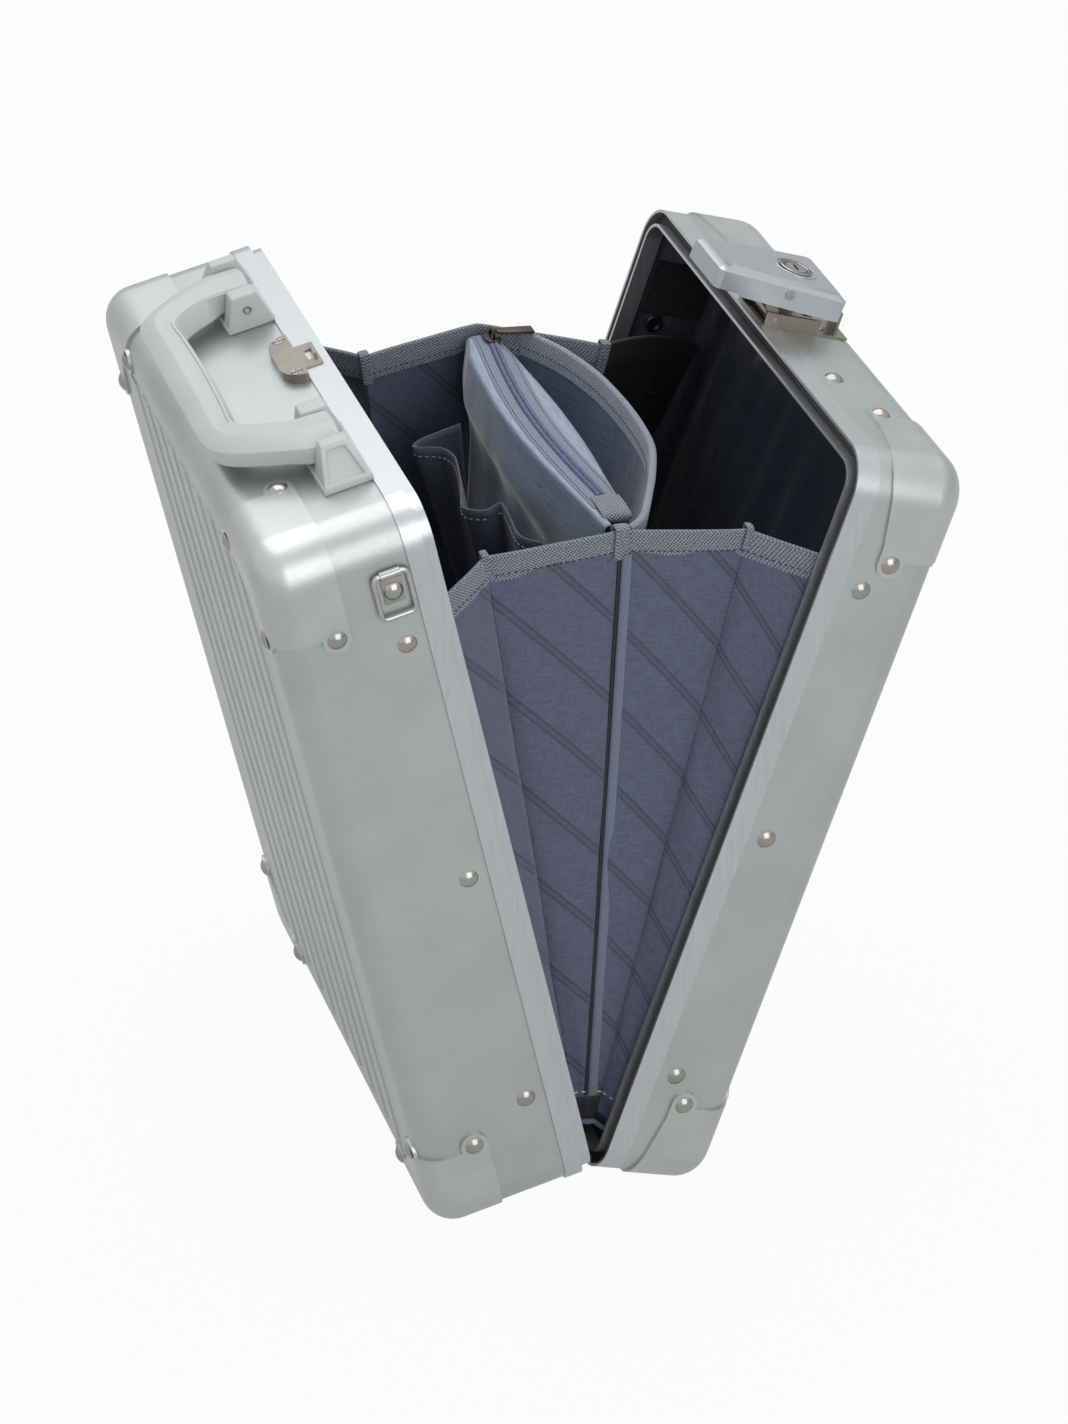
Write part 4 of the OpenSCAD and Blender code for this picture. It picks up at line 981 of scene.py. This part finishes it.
def zip_teeth():
    """Two rows of coil, and the seams that hold the tape."""
    line = [Vector((coil_off(y), y, POUCH_TOP + 1.7)) for y in [POUCH_NEAR + 3 + k for k in range(171)]]
    rows = [stitches(line, (0, 0, 1), ZIP_COILS, side * 1.25, 0.35 + side * 0.05) for side in BOTH]
    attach(thread_rows("zip_teeth", rows, ZIP_COIL, MIDDLE), "divider")
    spots = [POUCH_NEAR + (POUCH_FAR - POUCH_NEAR) * k / 90 for k in range(91)]
    seams = []
    for side in BOTH:
        line = [Vector((beside_coil(side, y, 7.4, 2.4), y, POUCH_TOP + 1.95)) for y in spots]
        seams.append(stitches(line, (0, 0, 1), ZIP_SEAM))
    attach(thread_rows("zip_seam_thread", seams, DARK_THREAD, MIDDLE), "divider")


zip_teeth()


def zip_end():
    """Tape folded over the zip's near end, and the dark cloth that closes the pouch under it."""
    up = POUCH_TOP + 2.2
    run = [(-77.5 - 18.0 * k / 12, 0.5 * math.sin(math.pi * k / 12)) for k in range(13)]
    turns = [math.pi * k / 8 for k in range(1, 9)]
    run += [(-95.5 - 1.6 * math.sin(a), 1.6 * math.cos(a) - 1.6) for a in turns]
    run += [(-95.5 + 3.0 * k, -3.4) for k in range(1, 4)]
    path = [Vector((5.4, y, up + rise)) for y, rise in run]
    section = [(-7.2, -0.5), (-7.2, 0.4), (-3.6, 0.9), (0, 1.1), (3.6, 0.8), (7.2, 0.3), (7.2, -0.5)]

    def upward(point):
        if point.z > up - 0.2:
            return Vector((0, -0.001, 1))
        return Vector((0, point.y + 94.5, point.z - up + 1.6))

    tab = finish_piece("zip_end_tape", run_along(path, section, upward), MIDDLE, BINDING, sharp=60)
    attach(tab, "divider")
    near = -92.0
    left = rim_off(-1, near)

    def surface(u, v):
        y = near + 9.0 * math.sin(math.pi * u)
        return Vector((left + 1.5 + (11.0 - left) * u, y, POUCH_LOW + 20 + (POUCH_TOP - 22 - POUCH_LOW) * v))

    made, flat, area = cloth_sheet("pouch_end_cloth", surface, 14, 30, SATIN, place=MIDDLE)
    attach(made, "divider")


zip_end()

SLIDER_Z = POUCH_TOP + 2.4


def zip_slider():
    """The slider's body with its nose, neck and wings, and the bail that its pull turns on."""
    half = [(3.0, -5.5), (4.5, -2.0), (4.5, 4.0), (3.2, 5.5), (1.2, 4.2)]
    outline = half + [(-x, y) for x, y in reversed(half)]
    body = pulled([(ZIP_OFF + x, SLIDER_Y + y, SLIDER_Z + 0.6) for x, y in outline], (0, 0, 1.0))
    bmesh.ops.recalc_face_normals(body, faces=body.faces)
    ease_edges(body, body.edges, 0.3)
    bail = [
        Vector((ZIP_OFF, SLIDER_Y + 3.3 * math.cos(a), SLIDER_Z + 1.5 + 3.9 * math.sin(a) ** 0.6))
        for a in [math.pi * k / 12 for k in range(13)]
    ]
    shapes = [body, run_along(bail, oval(2.2, 1.4, 8), (1, 0, 0))]
    made = finish_piece("zip_slider_body", join(shapes), MIDDLE, BRONZE, sharp=50)
    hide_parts("zip_slider")
    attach(made, "zip_slider")


def zip_pull():
    """Flat pull, narrower where it hooks on the bail, and bent a little."""
    place = Matrix.Translation((ZIP_OFF + 12.0, SLIDER_Y, SLIDER_Z + 4.3))
    shape = rounded_block((20.0, 7.0, 1.5), radius=0.7, segments=3, place=place)
    whole = list(shape.verts) + list(shape.edges) + list(shape.faces)
    bmesh.ops.bisect_plane(shape, geom=whole, plane_co=(ZIP_OFF + 7, 0, 0), plane_no=(1, 0, 0))
    for v in shape.verts:
        reach = v.co.x - ZIP_OFF
        v.co.y = SLIDER_Y + (v.co.y - SLIDER_Y) * (0.62 + 0.38 * within((reach - 3.0) / 7.0))
        v.co.z -= 0.06 * max(reach - 8.0, 0.0)
    made = finish_piece("zip_pull_tab", shape, MIDDLE, BRONZE, sharp=50)
    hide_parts("zip_pull")
    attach(made, "zip_pull")


zip_slider()
zip_pull()


def mouth_line(table, height, steps):
    """A smooth line through places given as (angle round the hinge, y), all at one height."""
    return smooth_path([fan(angle, height, y) for angle, y in table], steps)


def slack_panel():
    """Slack wall of the document pocket, bound with a rounded tape."""
    mouth = mouth_line([
        (6.1, 101.8), (8.6, 77.9), (10.1, 51.2), (10.65, 28.0), (10.85, 5.0), (10.65, -19.5), (10.1, -37.0),
        (8.65, -61.5), (7.35, -80.0), (6.2, -95.5), (5.3, -105.0), (3.9, -113.2),
    ], CLOTH_TOP - 1, 10)
    count = len(mouth) - 1
    foot_r = 120.0
    foot_angle = DIVIDER + math.degrees(math.asin(1.1 / foot_r))

    def surface(u, v):
        top = mouth[round(u * count)]
        wave = 3.0 * drift(top.y * 0.022, v * 2.0, 7) + 6.0 * u * (1 - u)
        return fan(foot_angle, foot_r, top.y).lerp(top, v) + Vector((wave * math.sin(math.pi * v), 0, 0))

    made, flat, area = cloth_sheet("slack_panel_cloth", surface, count, 50, SLACK_SATIN)
    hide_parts("slack_panel")
    tape = run_along(mouth, folded_tape(12.0, 3.8, 8), from_hinge)
    tape = finish_piece("slack_panel_binding", tape, WORLD, TWILL, sharp=60)
    rows = [stitches(mouth, from_hinge, SLACK_SEAM, side * 1.75, -6.9) for side in BOTH]
    thread = thread_rows("slack_panel_thread", rows)
    for piece in (made, tape, thread):
        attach(piece, "divider")


slack_panel()


def pen_pocket():
    """Pleated pocket for pens on the divider's handle side."""
    mouth = mouth_line([
        (-0.6, 64.6), (-4.4, 57.5), (-5.6, 52.5), (-5.2, 49.5), (-3.6, 44.8), (-3.0, 38.0), (-2.9, 30.0),
        (-3.7, 8.0), (-4.7, -12.0), (-4.6, -18.5), (-3.2, -23.4), (-1.9, -19.5), (-1.5, -20.5), (-1.6, -34.0),
        (-1.8, -53.0), (-0.4, -63.0),
    ], 330.0, 5)
    count = len(mouth) - 1

    def surface(u, v):
        top = mouth[round(u * count)]
        here = fan(DIVIDER - 1.25, 190.0, -60 + 118 * (1 - u)).lerp(top, v ** 0.85)
        return here + Vector((drift(top.y * 0.04, v * 2, 1) * math.sin(math.pi * v), 0, 0))

    made, flat, area = cloth_sheet("pen_pocket_cloth", surface, count, 30, POCKET_CLOTH)
    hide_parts("pen_pocket")
    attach(made, "divider")
    low = [p - from_hinge(p).normalized() * 5.2 for p in mouth]
    rows = [stitches(low, from_hinge, POCKET_SEAM, side * 0.62) for side in BOTH]
    thread = thread_rows("pen_pocket_thread", rows, WHITE_THREAD)
    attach(thread, "divider")


pen_pocket()

# ---- Lined trays ----

BOARD = 5.0    # distance of the lining from the shell's outer faces
RIM_A = 8.0    # where the lining ends under the frame of each half
RIM_B = 7.9
FOLDS_LEAN = 0.14
# Standing folds of the lining, as (y, half width, height)
TRAY_FOLDS = (
    (118, 9, 7.5), (98, 6, 4.4), (80, 8, 6.6), (58, 9, 3.6), (30, 12, 3.6), (-8, 14, 2.2), (-50, 16, 2.6),
    (-96, 14, 2.4),
)


def round_outline(half_w, half_h, radius, u):
    """Place on a rounded rectangle; a corner takes a fifth of each side's share."""
    side = int(u * 4 + 1e-9)
    f = u * 4 - side
    a, b = (half_w, half_h) if side % 2 == 0 else (half_h, half_w)
    radius = max(min(radius, a, b), 0.0)
    if f < 0.8:
        x, y = -a + radius + (2 * a - 2 * radius) * f / 0.8, b
    else:
        turn = math.pi / 2 * (1 - (f - 0.8) / 0.2)
        x, y = a - radius + radius * math.cos(turn), b - radius + radius * math.sin(turn)
    for _ in range(side % 4):
        x, y = y, -x
    return x, y


def tray_lining_piece(name, node, place, sign, depth, rim, body):
    """Cloth over the board of a tray: up its walls, round their foot and over its floor in faint folds."""
    bend = EDGE_R - BOARD
    turns = [math.radians(a) for a in range(15, 91, 15)]
    section = [(BOARD, rim), (BOARD, depth - EDGE_R)]
    section += [(EDGE_R - bend * math.cos(a), depth - EDGE_R + bend * math.sin(a)) for a in turns]
    section += [(EDGE_R + 133.0 * k / 16, depth - BOARD) for k in range(1, 17)]
    last = len(section) - 1

    def surface(u, v):
        inset, out = section[round(v * last)]
        y, z = round_outline(CASE_W / 2 - inset, CASE_H / 2 - inset, CORNER_R - inset, u)
        z += CASE_H / 2
        lean = y + (z - 300) * FOLDS_LEAN
        folds = sum(tall * math.exp(-((lean - at) / wide) ** 2) for at, wide, tall in TRAY_FOLDS)
        folds += drift(y * 0.020, z * 0.006, sign * 4.0) * 2.2
        return Vector((sign * (out - (folds + 1.8) * within((inset - EDGE_R) / 30.0)), y, z))

    shape = laid_over(surface, 240, last)
    bmesh.ops.remove_doubles(shape, verts=shape.verts, dist=0.001)
    bmesh.ops.recalc_face_normals(shape, faces=shape.faces)
    area = cloth_area(shape)
    made = finish_piece(name, shape, place, LINING, sharp=80)
    thicken(made, 1.2)
    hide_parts(node)
    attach(made, body)


tray_lining_piece("handle_lining_cloth", "handle_lining", HANDLE, -1, DEPTH_A, RIM_A, "handle_half")
tray_lining_piece("lock_lining_cloth", "lock_lining", LOCK, 1, DEPTH_B, RIM_B, "lock_half")


def felt_patch():
    """Fuzzy patch on the tray's far side, near its top."""

    def surface(u, v):
        x, z = 12 + 33 * u, 353 + 30 * v
        return Vector((x, CASE_W / 2 - 6.3 - 0.5 * drift(x * 0.4, z * 0.4, 0), z))

    made, flat, area = cloth_sheet("felt_patch", surface, 40, 44, FELT, 1.2, place=LOCK)
    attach(made, "lock_half")


def snap(name, place, outward, radius):
    """Press stud: a round cap with a rolled rim and a shallow dish."""
    profile = [(0.0, 0.5), (0.45, 0.55), (0.6, 1.0), (0.85, 1.05), (1.0, 0.6), (1.0, 0.0)]
    shape = spun([(r * radius, h * radius * 0.35) for r, h in profile], 28, False)
    turn = Vector(outward).normalized().to_track_quat("Z", "Y").to_matrix().to_4x4()
    return finish_piece(name, shape, Matrix.Translation(place) @ turn, BLACK_PLASTIC, sharp=40)


felt_patch()
wall_snap = snap("wall_snap", LOCK @ Vector((21.0, 144.2, 347.5)), (0, -1, 0), radius=5.0)
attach(wall_snap, "lock_half")
flap_snap = snap("flap_snap", far_side(0.905, 0.915) + Vector((0.6, -1.2, 0)), (-0.6, -1, 0.3), radius=5.6)
between_halves(flap_snap)

# ---- Latch ----

IN_COVER = LOCK @ Matrix.Translation((0.5, LATCH_Y, 432.59)) @ Matrix.Rotation(math.radians(3.3), 4, "Y")
AT_KEY = IN_COVER @ Matrix.Translation((16.5, 0, 10.4))


def latch_details():
    """Raised pan with its dial ring round the key, and the plug in the cover's near side."""
    pan = ring_shape(outer=11.4, inner=10.1, tall=0.55)
    pan = finish_piece("cover_pan_lip", pan, AT_KEY, COVER, sharp=30)
    dial = ring_shape(outer=8.7, inner=6.5, tall=1.15)
    dial = finish_piece("dial_ring", dial, AT_KEY, STEEL, sharp=30)
    marks = []
    for k in range(24):
        turn = Matrix.Rotation(2 * math.pi * k / 24, 4, "Z") @ Matrix.Translation((7.6, 0, 1.1))
        marks.append(rounded_block((1.5, 0.7, 0.35), radius=0.1, segments=1, place=turn))
    notches = finish_piece("dial_notches", join(marks), AT_KEY, BLACK_PLASTIC, sharp=30)
    side = Matrix.Translation((7.0, -22.2, 4.2)) @ Matrix.Rotation(math.radians(90 - 4.7), 4, "X")
    plug = rod(2.9, 1.2, side, facets=40, edge=0.25, taper=0.2)
    plug = finish_piece("cover_plug", plug, IN_COVER, PLUG, sharp=30)
    for piece in (pan, dial, notches, plug):
        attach(piece, "latch_cover")


latch_details()

# ---- Carry handle and its brackets ----


def at_pivot(side, y, turn):
    """Place at the handle's pivot, at a distance from the case's middle, with z along the pivot."""
    return Matrix.Translation((PIVOT_X, side * y, PIVOT_Z)) @ Matrix.Rotation(turn * math.pi / 2, 4, "X")


def side_line(points):
    """A smooth line through points of one end of the loop, and on to its other end."""
    half = smooth_path([Vector((x, y, 0)) for x, y in points], 7)
    return half + [Vector((p.x, -p.y, 0)) for p in reversed(half[:-1])]


def carry_handle():
    """Moulded loop: a wide outer facet up to a crease, a shallow pad inside it, and tall sides."""
    outer = side_line([
        (-17.6, 93.4), (-25.0, 93.5), (-34.0, 93.0), (-42.0, 90.2), (-50.0, 86.6), (-62.0, 79.8), (-71.0, 73.0),
        (-76.0, 66.0), (-78.2, 57.0), (-78.4, 44.0), (-78.5, 22.0), (-78.5, 0.0),
    ])
    inner = side_line([
        (-17.6, 67.4), (-25.0, 67.4), (-34.0, 67.4), (-39.0, 66.6), (-44.0, 65.0), (-50.5, 62.0), (-56.0, 58.2),
        (-59.2, 53.6), (-60.0, 48.0), (-59.2, 38.0), (-58.5, 20.0), (-58.2, 0.0),
    ])
    # Section, as (share of the way from the outer to the inner line, height)
    section = [
        (0.12, 421.4), (0.04, 421.7), (0.0, 422.8), (0.0, 430.4), (0.012, 431.4), (0.05, 432.1), (0.44, 435.8),
        (0.47, 436.0), (0.50, 435.95), (0.515, 435.9), (0.53, 435.8), (0.62, 435.4), (0.75, 435.2), (0.88, 435.1),
        (0.90, 435.05), (0.92, 435.0), (0.96, 434.7), (1.0, 433.6), (1.0, 423.0), (0.96, 421.7), (0.88, 421.4),
        (0.12, 421.4),
    ]
    count = len(outer) - 1
    size = len(section) - 1

    def surface(u, v):
        i = round(u * count)
        share, z = section[round(v * size)]
        end = min(i, count - i)
        along = end * 7.4 / 7
        across = inner[i] - outer[i]
        nip = 4.0 * (1 - math.sqrt(1 - (1 - min(along / 4.0, 1.0)) ** 2)) / across.length
        here = outer[i].lerp(inner[i], nip + (1 - 2 * nip) * share)
        here += across.normalized() * (3.0 * within((end - 14) / 10) * max(433.0 - z, 0.0) / 12.0)
        low = 2.0 * max(0.0, 1 - end / 28) * (z - 421.0) / 15.0
        top = 0.9 * max(0.0, 1 - along / 1.6) * max(z - 428.0, 0.0) / 8.0
        pad = 0.8 if abs(here.y) < 53.0 and 0.52 < share < 0.89 else 0.0
        return here + Vector((0, 0, z - low - top - pad))

    loop = laid_over(surface, count, size)
    close_up(loop, 0.0005)
    hubs = [rod(4.4, 25.8, at_pivot(side, 80.4, 1), facets=48, edge=0.7, segments=3) for side in BOTH]
    made = finish_piece("carry_handle_loop", join([loop] + hubs), HANDLE, GRIP, sharp=28)
    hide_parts("carry_handle")
    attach(made, "carry_handle")


EAR_TOP = 434.3


def ear(near_y, depth, lean=0.0, foot=0.0):
    """Ear of a handle bracket: its sides slope up to a narrow top, and its outer face may lean in."""
    far_y = near_y + depth
    profile = [(near_y, CASE_H), (far_y, CASE_H), (far_y - lean, EAR_TOP), (near_y, EAR_TOP)]
    if foot:
        profile.insert(2, (far_y, CASE_H + foot))
    shape = pulled([(-36.0, y, z) for y, z in profile], (25.2, 0, 0))
    for v in shape.verts:
        rise = (v.co.z - CASE_H) / (EAR_TOP - CASE_H)
        v.co.x += 5.8 * rise if v.co.x < -20 else -6.4 * rise
    bmesh.ops.recalc_face_normals(shape, faces=shape.faces)
    shape.normal_update()
    if foot:
        face = [f for f in shape.faces if f.normal.y > 0.3 and f.normal.z > 0.3]
        bmesh.ops.inset_individual(shape, faces=face, thickness=3.1, depth=0.0)
        bmesh.ops.inset_individual(shape, faces=face, thickness=0.8, depth=-1.9)
    ease_edges(shape, keen_edges(shape, 0.3), 0.55 if foot else 1.1, 3, True)
    return shape


def handle_bracket(name, node, flip):
    """Moulded bracket: inner and outer ears on one foot, mirrored for the near end."""
    place = Matrix.Translation((-23.4, 84.4, 416.7))
    foot = rounded_block((24.6, 54.0, 3.4), radius=0.6, segments=2, place=place)
    shape = join([ear(56.6, depth=10.0), ear(94.0, depth=18.0, lean=11.6, foot=3.2), foot])
    if flip:
        bmesh.ops.scale(shape, vec=(1, -1, 1), verts=shape.verts)
        bmesh.ops.reverse_faces(shape, faces=shape.faces)
    made = finish_piece(name, shape, HANDLE, GRIP, sharp=40)
    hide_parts(node)
    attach(made, "handle_half")


def pivot_pins():
    """Hollow-ended pins that the loop turns on."""
    shapes = []
    for side in BOTH:
        rim = ring_shape(outer=2.3, inner=1.1, tall=0.7, steps=32)
        bmesh.ops.transform(rim, matrix=at_pivot(side, 56.7, side), verts=rim.verts)
        shapes += [rod(1.9, 38.0, at_pivot(side, 76.2, side), facets=32), rim]
    made = finish_piece("pivot_pins", join(shapes), HANDLE, POLISHED, sharp=30)
    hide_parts("handle_pins")
    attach(made, "handle_half")


carry_handle()
handle_bracket("bracket_far_moulded", "bracket_far", False)
handle_bracket("bracket_near_moulded", "bracket_near", True)
pivot_pins()

# ---- Floor, light and camera ----

WHITE = (1, 1, 1, 1)
PAPER_GLOW = 0.95    # share of plain white that the camera sees in the floor; other rays see half


def stage_floor():
    """Pale paper that shows nearly white to the camera and keeps the case's shadow."""
    shape = bmesh.new()
    bmesh.ops.create_grid(shape, x_segments=1, y_segments=1, size=7.0)
    mesh = bpy.data.meshes.new("studio_floor")
    shape.to_mesh(mesh)
    shape.free()
    ground = bpy.data.objects.new("studio_floor", mesh)
    scene.collection.objects.link(ground)
    paper = bpy.data.materials.new("studio_paper")
    graph = Graph(paper)
    matt = graph.nodes["Principled BSDF"]
    matt.inputs["Base Color"].default_value = (0.45, 0.45, 0.45, 1)
    matt.inputs["Roughness"].default_value = 0.9
    glow = graph.add("Emission", Color=WHITE)
    seen = graph.add("LightPath").outputs["Is Camera Ray"]
    share = graph.sum("MULTIPLY_ADD", seen, PAPER_GLOW / 2, PAPER_GLOW / 2)
    mixed = graph.add("MixShader")
    for socket, value in zip(mixed.inputs, (share, matt.outputs[0], glow.outputs[0])):
        graph.feed(socket, value)
    graph.feed(graph.nodes["Material Output"].inputs["Surface"], mixed.outputs[0])
    mesh.materials.append(paper)


def sky(soft, low_gleam):
    """White to the camera and from above to metal, and softer where it lights the case."""
    scene.world = bpy.data.worlds.new("studio")
    graph = Graph(scene.world)
    back = graph.nodes["Background"].inputs
    back["Color"].default_value = WHITE
    rays = graph.add("LightPath").outputs
    where = graph.add("TexCoord").outputs["Generated"]
    tilt = graph.add("VectorMath", {"operation": "DOT_PRODUCT"}, Vector=where)
    tilt.inputs[1].default_value = (-0.25, -0.1, 1.0)
    gleam = graph.ramp(tilt.outputs["Value"], -0.2, 0.55, low_gleam, 1.0)
    metal = graph.sum("MULTIPLY", rays["Is Glossy Ray"], gleam)
    seen = graph.sum("MAXIMUM", rays["Is Camera Ray"], metal)
    graph.feed(back["Strength"], graph.sum("MAXIMUM", seen, soft))


def softbox(name, place, target, size, power):
    lamp = bpy.data.lights.new(name, "AREA")
    lamp.shape = "SQUARE"
    lamp.size = size
    lamp.energy = power
    made = bpy.data.objects.new(name, lamp)
    made.location = place
    made.rotation_euler = (Vector(target) - Vector(place)).to_track_quat("-Z", "Y").to_euler()
    scene.collection.objects.link(made)


def camera():
    lens = bpy.data.cameras.new("camera")
    lens.lens = 121.68
    lens.sensor_width = 36.0
    made = bpy.data.objects.new("camera", lens)
    right = Vector((0.949348, -0.314100, 0.008934))
    up = Vector((0.157905, 0.501454, 0.850652))
    look = Vector((0.271670, 0.806154, -0.525653))
    place = Matrix((right, up, -look)).transposed().to_4x4()
    place.translation = (-0.66116, -1.98661, 1.50021)
    made.matrix_world = place
    scene.collection.objects.link(made)
    scene.camera = made


stage_floor()
sky(soft=0.5, low_gleam=0.552)
softbox("overhead", (0.0, 0.9, 2.6), target=(0, 0, 0.3), size=3.0, power=46)
softbox("front", (0.6, -3.2, 1.6), target=(0, 0, 0.2), size=2.8, power=44)
camera()
scene.view_settings.view_transform = "Standard"
